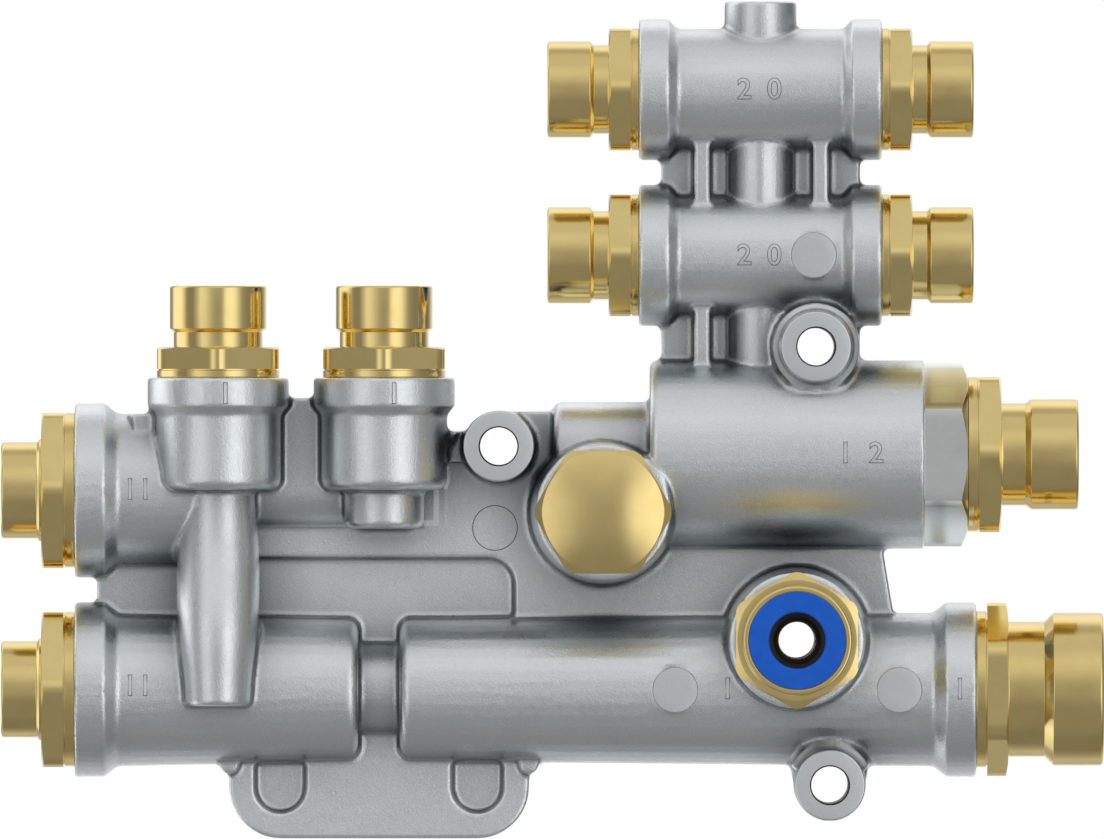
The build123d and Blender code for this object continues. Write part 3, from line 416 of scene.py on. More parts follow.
def round_rows(groups):
    """One round row for each point of an outline."""
    return [[tuple(point)] * SEGMENTS for group in groups for point in group]


def revolve(rows):
    """Vertices and faces of a ring surface from rows of (radius, height) round the axis."""
    vertices = []
    for row in rows:
        for segment, (radius, height) in enumerate(row):
            angle = 2 * math.pi * segment / SEGMENTS
            vertices.append((radius * math.cos(angle) * MM, radius * math.sin(angle) * MM, height * MM))
    faces = []
    for index in range(len(rows)):
        below = index * SEGMENTS
        above = (index + 1) % len(rows) * SEGMENTS
        for segment in range(SEGMENTS):
            follower = (segment + 1) % SEGMENTS
            faces.append((below + segment, below + follower, above + follower, above + segment))
    return vertices, faces


def with_lid(vertices, faces):
    """Faces of a ring surface that ends in a lid on its last row, instead of joining its first."""
    return faces[:-SEGMENTS] + [tuple(range(len(vertices) - SEGMENTS, len(vertices)))]


def with_lids(vertices, faces):
    """Faces of a ring surface that is closed by a lid on its last row and on its first."""
    return with_lid(vertices, faces) + [tuple(reversed(range(SEGMENTS)))]


def hexagon_radius(flats, corner_r, segment):
    """Radius of a hexagon with turned corners, one of them on segment 0."""
    angle = 2 * math.pi * segment / SEGMENTS
    past_flat = (angle - math.pi / 6) % (math.pi / 3)
    from_flat = min(past_flat, math.pi / 3 - past_flat)
    return min(flats / 2 / math.cos(from_flat), corner_r)


def hexagon_rows(flats, corner_r, start, end, chamfer):
    """Rows up the flats of a hexagon and over the cone that is turned on its outer end."""
    face_r = flats / 2 - HEX_FACE_INSET
    slope = chamfer / (corner_r - face_r)
    columns = []
    for segment in range(SEGMENTS):
        radius = hexagon_radius(flats, corner_r, segment)
        crease = end - (radius - face_r) * slope
        column = [(radius, start), (radius, crease)]
        for row in range(1, CHAMFER_ROWS + 1):
            share = row / CHAMFER_ROWS
            column.append((radius + (face_r - radius) * share, crease + (end - crease) * share))
        columns.append(column)
    return [[column[row] for column in columns] for row in range(len(columns[0]))]


def turned_hexagon(name, lower, hexagon, upper, materials):
    """Lathe piece whose outline has a hexagon between its lower and its upper corners."""
    groups = rounded(lower + upper)
    rows = round_rows(groups[:len(lower)])
    first = len(rows)
    rows += hexagon + round_rows(groups[len(lower):])
    vertices, faces = revolve(rows)
    face_materials = [0] * len(faces)
    face_materials[first * SEGMENTS:(first + 1) * SEGMENTS] = [1] * SEGMENTS
    return new_piece(name, vertices, faces, materials, face_materials)


def fitting(port, materials):
    """Brass body of a push-in fitting: shank, washer face, hexagon, neck, head and socket."""
    size, corner = PORTS[port]
    hexagon_end = size.washer + size.hexagon
    neck_end = hexagon_end + size.neck
    outer = size.length
    inner_r = size.tube_r - TUBE_WALL
    socket_r = size.tube_r + TUBE_GAP
    chamber_r = size.tube_r + SLEEVE_WALL + SLIDE_GAP + COLLAR_WALL
    mouth_r = size.cap_r + SLIDE_GAP
    stop = outer - STOP
    lower = [
        (inner_r, -size.shank, 0.3),
        (size.thread_r, -size.shank, THREAD_EDGE),
        (size.thread_r, 0, 0),
        (size.washer_r, 0, 0.25),
        (size.washer_r, size.washer - WASHER_STEP, 0.15),
        (size.washer_r - WASHER_STEP, size.washer - WASHER_STEP, 0),
        (size.washer_r - WASHER_STEP, size.washer, 0),
    ]
    upper = [
        (size.neck_r, hexagon_end, min(NECK_FILLET, NECK_FILLET_SHARE * size.neck)),
        (size.neck_r, neck_end, 0.15),
        (size.head_r, neck_end + size.slope, SHOULDER_EDGE),
        (size.head_r, outer, HEAD_EDGE),
        (mouth_r, outer, 0.15),
        (mouth_r, outer - POCKET, 0),
        (chamber_r, outer - POCKET, 0),
        (chamber_r, stop + SOCKET_LENGTH, 0),
        (socket_r, stop + SOCKET_LENGTH, 0.15),
        (socket_r, stop, 0),
        (inner_r, stop, 0.2),
    ]
    hexagon = hexagon_rows(size.flats, size.corner_r, size.washer, hexagon_end, FITTING_CHAMFER)
    piece = turned_hexagon(f"brass_fitting_{port}", lower, hexagon, upper, materials)
    paint_socket_shade(piece, size)
    origin, way = seat_of(port)
    piece.matrix_world = seating(origin, way, corner)
    settle(piece, "housing", "turned_brass", f"fitting_{port}")


def paint_socket_shade(piece, size):
    """Paint shade deep in the fitting: the socket, the stop of its tube and the passage behind them take
    a dark copy of the brass.
    """
    bore_r = size.tube_r + SLEEVE_WALL + SLIDE_GAP + COLLAR_WALL + SKIN
    start = size.length - STOP - SKIN
    end = size.length - POCKET + SKIN
    for face in piece.data.polygons:
        across = math.hypot(face.center.x, face.center.y) / MM
        height = face.center.z / MM
        inside = across < bore_r and start < height < end
        passage = across < size.tube_r - TUBE_WALL + 2 * SKIN
        if inside or passage:
            face.material_index = 2


def release_ring(port, material):
    """Blue release ring: flat cap with a rounded mouth, sleeve and barb."""
    size, corner = PORTS[port]
    outer = size.length
    pass_r = size.tube_r + PASS_GAP
    sleeve_r = size.tube_r + SLEEVE_WALL
    barb = outer - POCKET - COLLAR_THICK - REST_GAP
    outline = [
        (pass_r, barb - BARB_LENGTH, 0.2),
        (sleeve_r, barb - BARB_LENGTH, 0),
        (sleeve_r + BARB_HEIGHT, barb, 0),
        (sleeve_r, barb, 0),
        (sleeve_r, outer - CAP_THICK, 0.2),
        (size.cap_r, outer - CAP_THICK, 0.2),
        (size.cap_r, outer, 0.3),
        (pass_r, outer, CAP_LIP),
    ]
    vertices, faces = revolve(round_rows(rounded(outline)))
    piece = new_piece(f"blue_ring_{port}", vertices, faces, [material])
    origin, way = seat_of(port)
    piece.matrix_world = seating(origin, way, corner)
    node = f"release_ring_{port}"
    settle(piece, node, "blue_plastic", node)


def lip_seals(material):
    """Tube seals of all ports, each with a lip that leans into the socket."""
    vertices, faces = [], []
    for port, (size, corner) in PORTS.items():
        end = size.length - GRAB_BASE - REST_GAP
        pass_r = size.tube_r + PASS_GAP
        wall_r = size.tube_r + SLEEVE_WALL + SLIDE_GAP + COLLAR_WALL - PACKING_GAP
        outline = [
            (pass_r, end - SEAL_LENGTH, 0.15),
            (wall_r, end - SEAL_LENGTH, 0.2),
            (wall_r, end, 0.2),
            (pass_r + SEAL_LIP_ROOT, end, 0.2),
            (pass_r - SEAL_LIP, end - SEAL_LIP_TIP_DEPTH, 0.15),
            (pass_r, end - SEAL_LIP_BACK_DEPTH, 0),
        ]
        ring_vertices, ring_faces = revolve(round_rows(rounded(outline)))
        place = seating(*seat_of(port), corner)
        first = len(vertices)
        vertices += [tuple(place @ Vector(vertex)) for vertex in ring_vertices]
        faces += [tuple(first + index for index in face) for face in ring_faces]
    piece = new_piece("lip_seals", vertices, faces, [material])
    settle(piece, "housing", "black_rubber", "tube_seals")


def closing_plug(materials):
    """Closing plug: shank with the poppet's guide bore, round collar and hexagon head."""
    collar_r = PLUG_FLATS / 2
    lower = [
        (PLUG_GUIDE_R, PLUG_GUIDE_DEPTH - PLUG_SHANK, 0),
        (PLUG_GUIDE_R, -PLUG_SHANK, 0.3),
        (PLUG_SHANK_R, -PLUG_SHANK, 0.8),
        (PLUG_SHANK_R, 0, 0),
        (collar_r, 0, 0.25),
        (collar_r, PLUG_COLLAR, 0.15),
    ]
    rows = round_rows(rounded(lower))
    first = len(rows)
    rows += hexagon_rows(PLUG_FLATS, PLUG_CORNER_R, PLUG_COLLAR, PLUG_HEAD, PLUG_CHAMFER)
    vertices, faces = revolve(rows)
    faces = with_lids(vertices, faces)
    face_materials = [0] * len(faces)
    face_materials[first * SEGMENTS:(first + 1) * SEGMENTS] = [1] * SEGMENTS
    piece = new_piece("plug_head", vertices, faces, materials, face_materials)
    piece.matrix_world = seating(PLUG_PLACE, FORWARD, RIGHTWARD)
    settle(piece, "housing", "turned_brass", "closing_plug")


def valve_insert(materials):
    """Insert that closes the shuttle cylinder: nose, threaded shank and hexagon head."""
    lower = [
        (INSERT_BORE_R, -INSERT_NOSE, 0.3),
        (INSERT_NOSE_R, -INSERT_NOSE, 0.6),
        (INSERT_NOSE_R, -INSERT_THREAD, 0),
        (INSERT_THREAD_R, -INSERT_THREAD, 0.6),
        (INSERT_THREAD_R, 0, 0),
    ]
    upper = [
        (INSERT_SOCKET_R, INSERT_HEAD, 0.3),
        (INSERT_SOCKET_R, INSERT_SOCKET, 0),
        (INSERT_BORE_R, INSERT_SOCKET, 0.3),
    ]
    hexagon = hexagon_rows(INSERT_FLATS, INSERT_CORNER_R, 0, INSERT_HEAD, INSERT_CHAMFER)
    piece = turned_hexagon("insert_head", lower, hexagon, upper, materials)
    piece.matrix_world = seating(INSERT_PLACE, RIGHTWARD, UPWARD)
    settle(piece, "housing", "machined_aluminium", "valve_insert")


def offset_surface(points, faces, offset):
    """Surface at an even distance outside a closed one, or inside it where the offset is negative."""
    corners = "triangles" if faces.shape[1] == 3 else "quads"
    grid = openvdb.FloatGrid.createLevelSetFromPolygons(
        points,
        transform=openvdb.createLinearTransform(voxelSize=GRID),
        halfWidth=abs(offset) / GRID + GRID_MARGIN,
        **{corners: faces},
    )
    return grid.convertToQuads(offset)


def mesh_arrays(mesh):
    """Points and triangles of a mesh as arrays."""
    mesh.calc_loop_triangles()
    points = np.empty(len(mesh.vertices) * 3, np.float32)
    mesh.vertices.foreach_get("co", points)
    triangles = np.empty(len(mesh.loop_triangles) * 3, np.int32)
    mesh.loop_triangles.foreach_get("vertices", triangles)
    return points.reshape(-1, 3), triangles.reshape(-1, 3).astype(np.uint32)


def ease(value, span):
    """From 0 to 1 in a smooth step as a value goes from one end of its span to the other."""
    share = min(max((value - span[0]) / (span[1] - span[0]), 0), 1)
    return share * share * (3 - 2 * share)


def stack(rows):
    """Points and triangles of a closed surface over rows of (x, level, z) points."""
    count = len(rows[0])
    points = [(x * MM, TUBE_PLANE_Y - level * MM, z * MM) for row in rows for x, level, z in row]
    triangles = []
    for start in range(0, len(points) - count, count):
        for index in range(count):
            follower = (index + 1) % count
            corners = (start + index, start + follower, start + count + follower, start + count + index)
            triangles += [corners[:3], (corners[0], corners[2], corners[3])]
    for start in (0, len(points) - count):
        triangles += [(start, start + index, start + index + 1) for index in range(1, count - 1)]
    return points, triangles


def pipe_row(z, inset):
    """Outline of the leaning down pipe at one height: flat sides and a round front."""
    level = PIPE_LEVEL[0] + (PIPE_LEVEL[1] - PIPE_LEVEL[0]) * ease(z, PIPE_LEAN_Z)
    radius = PIPE_TOP_R + (PIPE_BELLY_R - PIPE_TOP_R) * ease(z, PIPE_SWELL_Z) - inset
    radius += (PIPE_END_R - PIPE_BELLY_R) * ease(z, PIPE_TAPER_Z)
    front = []
    for step in range(SEGMENTS // 2 + 1):
        angle = 2 * math.pi * step / SEGMENTS
        front.append((PIPE_X + radius * math.cos(angle), level + radius * math.sin(angle), z))
    return front + [(PIPE_X - radius, PIPE_BACK, z), (PIPE_X + radius, PIPE_BACK, z)]


def leaning_pipe():
    """Lower part of the down pipe, which leans forward until its sides clear the lower tube."""
    start, end = PIPE_Z[0], PIPE_Z[1] + PIPE_END_ROUND
    rows = [pipe_row(z, 0) for z in np.linspace(start, end, SEGMENTS // 4)]
    for step in range(1, CHAMFER_ROWS + 1):
        angle = math.pi / 2 * step / CHAMFER_ROWS
        inset = PIPE_END_ROUND * (1 - math.cos(angle))
        rows.append(pipe_row(end - PIPE_END_ROUND * math.sin(angle), inset))
    return stack(rows)


def round_riser(foot, top):
    """Riser between two of the tubes that it joins, as a round pipe."""
    outline = []
    for segment in range(SEGMENTS):
        angle = 2 * math.pi * segment / SEGMENTS
        outline.append((RISER_X + RISER_R * math.cos(angle), RISER_R * math.sin(angle)))
    return stack([[(x, level, z) for x, level in outline] for z in (foot, top)])


def joined(surfaces):
    """One surface of several, each given as points and triangles."""
    all_points, all_triangles, first = [], [], 0
    for points, triangles in surfaces:
        all_points.append(np.array(points, np.float32))
        all_triangles.append(np.array(triangles, np.uint32) + np.uint32(first))
        first += len(points)
    return np.concatenate(all_points), np.concatenate(all_triangles)


def lathe_cutter(origin, outline):
    """Points and faces of a turned cutter that looks forward from a point."""
    vertices, faces = revolve(round_rows(rounded(outline)))
    place = seating(origin, FORWARD, RIGHTWARD)
    return [tuple(place @ Vector(vertex)) for vertex in vertices], with_lids(vertices, faces)


def eye_cutter(name):
    """Cutter for a mounting eye: its hole, and a recess for the machined face at each end."""
    depth = mount(name)["dims"]["length_mm"]
    outline = [
        (EYE_FACE_R + EYE_GAP, -EYE_LIP, 0),
        (EYE_FACE_R + EYE_GAP, EYE_LIP + EYE_GAP, 0),
        (EYE_CORE_R + EYE_GAP, EYE_LIP + EYE_GAP, 0),
        (EYE_CORE_R + EYE_GAP, depth - EYE_LIP - EYE_GAP, 0),
        (EYE_FACE_R + EYE_GAP, depth - EYE_LIP - EYE_GAP, 0),
        (EYE_FACE_R + EYE_GAP, depth + EYE_LIP, 0),
    ]
    return lathe_cutter(Vector(mount(name)["pos_m"]) * Vector((1, 0, 1)), outline)


def pin_cutter(x, z, level):
    """Cutter for the flat mark of an ejector pin."""
    radius = PIN_R + PIN_GAP
    outline = [(radius, level - PIN_DROP, 0), (radius, level + PIN_CUT_ABOVE, 0)]
    return lathe_cutter(Vector((x * MM, TUBE_PLANE_Y, z * MM)), outline)


def rail_cutter():
    """Cutter for the end of the gallery rail beside the cup, finely divided to carry the relief."""
    (left, right), (back, front), (low, high) = RAIL_CUT
    places = np.linspace(left, right, round((right - left) / RAIL_CUT_STEP) + 1)
    outline = [(left, front)] + [(x, back) for x in places] + [(right, front)]
    heights = np.linspace(low, high, round((high - low) / RAIL_CUT_STEP) + 1)
    return stack([[(x, level, z) for x, level in outline] for z in heights])


def cut(piece, name, cutters):
    """Cut shapes out of a piece, each given as points and faces, with crisp edges."""
    vertices, faces = [], []
    for points, cutter_faces in cutters:
        first = len(vertices)
        vertices += points
        faces += [tuple(first + index for index in face) for face in cutter_faces]
    tool = new_piece(name, vertices, faces, [])
    step = piece.modifiers.new(name, "BOOLEAN")
    step.object = tool
    step.operation = "DIFFERENCE"
    step.solver = "MANIFOLD"
    apply_steps(piece)
    bpy.data.objects.remove(tool)


def apply_steps(piece):
    """Replace a piece's mesh by what its modifiers make of it."""
    bpy.context.view_layer.update()
    shown = piece.evaluated_get(bpy.context.evaluated_depsgraph_get())
    mesh = bpy.data.meshes.new_from_object(shown)
    piece.modifiers.clear()
    piece.data = mesh


def mark_relief(mesh, points, triangles):
    """Write how far each point stands off the sharp casting: out in its hollows, in at its edges."""
    tree = BVHTree.FromPolygons(points.tolist(), triangles.tolist())
    relief = []
    for vertex in mesh.vertices:
        place, normal, _, distance = tree.find_nearest(vertex.co)
        side = 1 if (vertex.co - place).dot(normal) > 0 else -1
        depth = side * distance / MM
        relief.append(depth if depth > -CUT_DEPTH else 0)
    layer = mesh.attributes.new("relief", "FLOAT", "POINT")
    layer.data.foreach_set("value", relief)


def casting(material):
    """Housing with its hollows and crests rounded as cast."""
    original = frame["nodes"]["housing"].data
    surfaces = [mesh_arrays(original), leaning_pipe()]
    surfaces += [round_riser(foot, top) for foot, top in RISER_SPANS]
    sharp_points, sharp_triangles = joined(surfaces)
    points, quads = offset_surface(sharp_points, sharp_triangles, HOLLOW_RADIUS)
    points, quads = offset_surface(points, quads, -HOLLOW_RADIUS - CREST_RADIUS)
    points, quads = offset_surface(points, quads, CREST_RADIUS)
    lowest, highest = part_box("housing")
    np.clip(points, np.array(lowest), np.array(highest), out=points)
    mesh = bpy.data.meshes.new("casting")
    mesh.from_pydata(points.tolist(), [], quads.tolist())
    mesh.materials.append(material)
    piece = add_object("casting", mesh)
    thin = piece.modifiers.new("thin", "DECIMATE")
    thin.ratio = min(1, CAST_TRIANGLES / (2 * len(quads)))
    apply_steps(piece)
    cutters = [eye_cutter(name) for name in EYE_MOUNTS]
    cutters += [pin_cutter(*pad) for pad in PIN_PADS]
    cutters.append(rail_cutter())
    cut(piece, "cast_cutter", cutters)
    smooth(piece.data, CAST_SHARP_ANGLE)
    mark_relief(piece.data, sharp_points, sharp_triangles)
    even = piece.modifiers.new("even", "WEIGHTED_NORMAL")
    even.mode = "FACE_AREA"
    even.keep_sharp = True
    apply_steps(piece)
    settle(piece, "housing", "cast_aluminium", "housing")
    return piece


def eye_face(name, materials):
    """Machined faces and hole of a mounting eye, in one spool through it."""
    depth = mount(name)["dims"]["length_mm"]
    outline = [
        (EYE_HOLE_R, EYE_CHAMFER, 0),
        (EYE_HOLE_R + EYE_CHAMFER, 0, 0),
        (EYE_FACE_R, 0, EYE_EDGE),
        (EYE_FACE_R, EYE_LIP, 0),
        (EYE_CORE_R, EYE_LIP, 0),
        (EYE_CORE_R, depth - EYE_LIP, 0),
        (EYE_FACE_R, depth - EYE_LIP, 0),
        (EYE_FACE_R, depth, EYE_EDGE),
        (EYE_HOLE_R + EYE_CHAMFER, depth, 0),
        (EYE_HOLE_R, depth - EYE_CHAMFER, 0),
    ]
    rows = round_rows(rounded(outline))
    vertices, faces = revolve(rows)
    # The hole and its chamfers take a dark copy of the casting, as painted shade
    painted_shade_rows = (0, len(rows) - 2, len(rows) - 1)
    face_materials = [int(index // SEGMENTS in painted_shade_rows) for index in range(len(faces))]
    piece = new_piece(f"face_{name}", vertices, faces, materials, face_materials)
    piece.matrix_world = seating(Vector(mount(name)["pos_m"]) * Vector((1, 0, 1)), FORWARD, RIGHTWARD)
    settle(piece, "housing", "cast_aluminium")


def pin_pad(index, x, z, level, material):
    """Flat round mark of an ejector pin, with a crisp edge."""
    outline = [(PIN_R, level - PIN_ROOT, 0), (PIN_R, level, PIN_EDGE), (PIN_R / 2, level, 0)]
    vertices, faces = revolve(round_rows(rounded(outline)))
    piece = new_piece(f"pin_mark_{index}", vertices, with_lid(vertices, faces), [material])
    piece.matrix_world = seating(Vector((x * MM, TUBE_PLANE_Y, z * MM)), FORWARD, RIGHTWARD)
    settle(piece, "housing", "cast_aluminium")


def pin_outline(x, z, level, material):
    """Fine line of painted shade round the mark of an ejector pin that stands flush with the web."""
    outline = [
        (PIN_R - PIN_LINE, level - PIN_LINE_DEPTH, 0),
        (PIN_R + PIN_LINE, level - PIN_LINE_DEPTH, 0),
        (PIN_R + PIN_LINE, level + PIN_LINE_PROUD, 0),
        (PIN_R - PIN_LINE, level + PIN_LINE_PROUD, 0),
    ]
    vertices, faces = revolve(round_rows(rounded(outline)))
    piece = new_piece("pin_outline", vertices, faces, [material])
    piece.matrix_world = seating(Vector((x * MM, TUBE_PLANE_Y, z * MM)), FORWARD, RIGHTWARD)
    settle(piece, "housing", "cast_aluminium")


def numeral(index, digit, x, z, materials, surface):
    """Raised plain digit that follows the surface behind it."""
    curve = bpy.data.curves.new(f"number_{index}", "FONT")
    curve.body = digit
    curve.size = NUMERAL_SIZE / NUMERAL_SHARE
    curve.align_x = "CENTER"
    curve.align_y = "CENTER"
    curve.resolution_u = NUMERAL_CURVE_STEPS
    curve.extrude = NUMERAL_HEIGHT
    curve.bevel_depth = NUMERAL_EDGE
    curve.bevel_resolution = 0
    template = add_object("number_template", curve)
    bpy.context.view_layer.update()
    shown = template.evaluated_get(bpy.context.evaluated_depsgraph_get())
    mesh = bpy.data.meshes.new_from_object(shown)
    bpy.data.objects.remove(template)
    for vertex in mesh.vertices:
        across, up, out = vertex.co
        start = Vector((x * MM + across, cad_box[0].y - RAY_START, z * MM + up))
        place = surface.ray_cast(start, BACKWARD)[0]
        if out < 0:
            height = -NUMERAL_ROOT
        elif out < NUMERAL_HEIGHT + NUMERAL_EDGE / 2:
            height = NUMERAL_FOOT
        else:
            height = NUMERAL_HEIGHT
        vertex.co = place + FORWARD * height
    mesh.materials.clear()
    for material in materials:
        mesh.materials.append(material)
    mesh.update()
    for face in mesh.polygons:
        face.material_index = int(abs(face.normal.y) < NUMERAL_FRONT)
    piece = add_object(f"number_{index}", mesh)
    settle(piece, "housing", "cast_aluminium")


# Colours of the casting: between grains, plain, on grains and as a painted highlight with some edge wear
# on edges, and as painted shade in its hollows; then how far the painted shade looks for surfaces that
# close in
CAST_DULL = (0.77, 0.81, 0.83)
CAST_PLAIN = (0.81, 0.85, 0.87)
CAST_SPECK_AND_EDGE_HIGHLIGHT = (0.92, 0.95, 0.96)
CAST_PAINTED_SHADE = (0.22, 0.24, 0.25)
PAINTED_SHADE_REACH = 14 * MM


class Finish:
    """Material under construction around one Principled shader."""

    def __init__(self, name, **constants):
        self.material = bpy.data.materials.new(name)
        self.material.use_nodes = True
        self.nodes = self.material.node_tree.nodes
        self.links = self.material.node_tree.links
        self.shader = self.nodes["Principled BSDF"]
        for socket, value in constants.items():
            self.shader.inputs[socket.replace("_", " ")].default_value = value
        self.place = self.nodes.new("ShaderNodeTexCoord").outputs["Object"]

    def join(self, source, target):
        """Link a node's output to an input."""
        self.links.new(source, target)

    def noise(self, size_mm, detail=2.0, place=None, roughness=0.5):
        """Noise whose grains are about size_mm across."""
        node = self.nodes.new("ShaderNodeTexNoise")
        node.inputs["Scale"].default_value = 1 / (size_mm * MM)
        node.inputs["Detail"].default_value = detail
        node.inputs["Roughness"].default_value = roughness
        self.join(place or self.place, node.inputs["Vector"])
        return node.outputs["Fac"]

    def spread(self, value, low, high, start=0.3, end=0.7):
        """Value from low to high as the input goes from start to end."""
        node = self.nodes.new("ShaderNodeMapRange")
        node.inputs["From Min"].default_value = start
        node.inputs["From Max"].default_value = end
        node.inputs["To Min"].default_value = low
        node.inputs["To Max"].default_value = high
        self.join(value, node.inputs["Value"])
        return node.outputs["Result"]

    def blend(self, share, first, second):
        """Colour between two, each a colour or another node's output."""
        node = self.nodes.new("ShaderNodeMix")
        node.data_type = "RGBA"
        self.join(share, node.inputs["Factor"])
        for socket, colour in (("A", first), ("B", second)):
            target = next(s for s in node.inputs if s.name == socket and s.type == "RGBA")
            if isinstance(colour, tuple):
                target.default_value = (*colour, 1)
            else:
                self.join(colour, target)
        return next(s for s in node.outputs if s.type == "RGBA")

    def bump(self, height, depth_mm, strength=1.0, below=None):
        """Bump of a height in millimetres, on top of another bump."""
        node = self.nodes.new("ShaderNodeBump")
        node.inputs["Strength"].default_value = strength
        node.inputs["Distance"].default_value = depth_mm * MM
        self.join(height, node.inputs["Height"])
        if below is not None:
            self.join(below, node.inputs["Normal"])
        return node.outputs["Normal"]

    def turned(self):
        """Place by radius and height only, for grooves that run round the axis."""
        parts = self.nodes.new("ShaderNodeSeparateXYZ")
        self.join(self.place, parts.inputs["Vector"])
        squares = []
        for axis in ("X", "Y"):
            square = self.nodes.new("ShaderNodeMath")
            square.operation = "MULTIPLY"
            self.join(parts.outputs[axis], square.inputs[0])
            self.join(parts.outputs[axis], square.inputs[1])
            squares.append(square.outputs[0])
        total = self.nodes.new("ShaderNodeMath")
        self.join(squares[0], total.inputs[0])
        self.join(squares[1], total.inputs[1])
        radius = self.nodes.new("ShaderNodeMath")
        radius.operation = "SQRT"
        self.join(total.outputs[0], radius.inputs[0])
        place = self.nodes.new("ShaderNodeCombineXYZ")
        self.join(radius.outputs[0], place.inputs["X"])
        self.join(parts.outputs["Z"], place.inputs["Z"])
        return place.outputs["Vector"]

    def set(self, socket, value):
        """Link a node's output to one of the shader's inputs."""
        self.join(value, self.shader.inputs[socket])


def cast_finish():
    """Die-cast aluminium: blasted grain over faint flow marks, with painted shade in its hollows and
    where it closes in on itself, and a painted highlight with some edge wear on its edges.
    """
    finish = Finish("cast_aluminium", Metallic=1.0)
    grain = finish.noise(0.36, 3.0)
    skin = finish.noise(1.6, 2.0)
    cloud = finish.noise(14, 4.0)
    colour = finish.blend(finish.spread(cloud, 0, 1), CAST_DULL, CAST_PLAIN)
    specks = finish.spread(grain, 0, 0.6, 0.45, 0.75)
    colour = finish.blend(specks, colour, CAST_SPECK_AND_EDGE_HIGHLIGHT)
    # Painted shade: the colour darkens where the casting closes in round a point, as ambient occlusion
    # finds it
    painted_occlusion = finish.nodes.new("ShaderNodeAmbientOcclusion")
    painted_occlusion.samples = 6
    painted_occlusion.only_local = True
    painted_occlusion.inputs["Distance"].default_value = PAINTED_SHADE_REACH
    colour = finish.blend(finish.spread(painted_occlusion.outputs["AO"], 1, 0, 0.35, 1.0), colour, CAST_PAINTED_SHADE)
    # Painted shade in the hollows, by how far the surface stands off the sharp casting
    relief = finish.nodes.new("ShaderNodeAttribute")
    relief.attribute_name = "relief"
    colour = finish.blend(finish.spread(relief.outputs["Fac"], 0, 0.8, 0.12, 0.4), colour, CAST_PAINTED_SHADE)
    # Painted highlight, with some edge wear, on the crests where the surface lies inside the sharp
    # casting
    colour = finish.blend(finish.spread(relief.outputs["Fac"], 0.5, 0, -0.15, -0.04), colour, CAST_SPECK_AND_EDGE_HIGHLIGHT)
    finish.set("Base Color", colour)
    finish.set("Roughness", finish.spread(skin, 0.27, 0.34))
    coarse = finish.bump(grain, 0.11, 0.6)
    finish.set("Normal", finish.bump(skin, 0.02, 0.35, coarse))
    return finish.material


def faced_finish():
    """Flat aluminium that was faced or pressed smooth: finer grain than the casting."""
    finish = Finish("faced_aluminium", Metallic=1.0)
    grain = finish.noise(0.3, 2.0)
    colour = finish.blend(finish.spread(grain, 0, 1), CAST_DULL, CAST_PLAIN)
    finish.set("Base Color", colour)
    finish.set("Roughness", finish.spread(grain, 0.3, 0.36))
    finish.set("Normal", finish.bump(grain, 0.05, 0.5))
    return finish.material


def turned_finish(name, bright, dull, gloss, groove_mm, groove_depth_mm):
    """Metal turned on a lathe: fine grooves round the axis, and a slight tarnish."""
    finish = Finish(name, Metallic=1.0)
    grooves = finish.noise(groove_mm, 2.0, finish.turned())
    tarnish = finish.noise(6, 4.0)
    finish.set("Base Color", finish.blend(finish.spread(tarnish, 0, 1, 0.42, 0.75), bright, dull))
    smudges = finish.spread(finish.noise(2.5, 3.0), gloss, gloss + 0.05)
    finish.set("Roughness", smudges)
    finish.set("Normal", finish.bump(grooves, groove_depth_mm, 0.5))
    return finish.material


def drawn_finish(name, bright, dull, gloss):
    """Flats left as the bar was drawn: faint streaks along the axis."""
    finish = Finish(name, Metallic=1.0)
    stretch = finish.nodes.new("ShaderNodeMapping")
    stretch.inputs["Scale"].default_value = (1, 1, 0.06)
    finish.join(finish.place, stretch.inputs["Vector"])
    streaks = finish.noise(0.3, 3.0, stretch.outputs["Vector"])
    tarnish = finish.noise(4, 4.0)
    finish.set("Base Color", finish.blend(finish.spread(tarnish, 0, 1, 0.4, 0.75), bright, dull))
    finish.set("Roughness", finish.spread(streaks, gloss, gloss + 0.05))
    finish.set("Normal", finish.bump(streaks, 0.005, 0.5))
    return finish.material


def moulded_finish(name, colour, worn, gloss, grain_mm, relief_mm, specular=0.5):
    """Moulded plastic or rubber: fine grain, slightly uneven colour."""
    finish = Finish(name, Metallic=0.0, Specular_IOR_Level=specular)
    grain = finish.noise(grain_mm, 2.0)
    cloud = finish.noise(3, 3.0)
    finish.set("Base Color", finish.blend(finish.spread(cloud, 0, 1), colour, worn))
    finish.set("Roughness", finish.spread(grain, gloss, gloss + 0.1))
    finish.set("Normal", finish.bump(grain, relief_mm, 0.5))
    return finish.material


def floor_finish():
    """Plain pale floor with a trace of unevenness and no gloss."""
    finish = Finish("pale_floor", Metallic=0.0, Specular_IOR_Level=0.0)
    cloud = finish.noise(300, 2.0)
    finish.set("Base Color", finish.blend(finish.spread(cloud, 0, 1), FLOOR_DULL, FLOOR_PALE))
    finish.set("Roughness", finish.spread(cloud, 0.6, 0.7))
    distance = finish.nodes.new("ShaderNodeVectorMath")
    distance.operation = "LENGTH"
    finish.join(finish.place, distance.inputs[0])
    finish.set("Alpha", finish.spread(distance.outputs["Value"], 1, 0, FLOOR_FADE_R, FLOOR_R))
    return finish.material


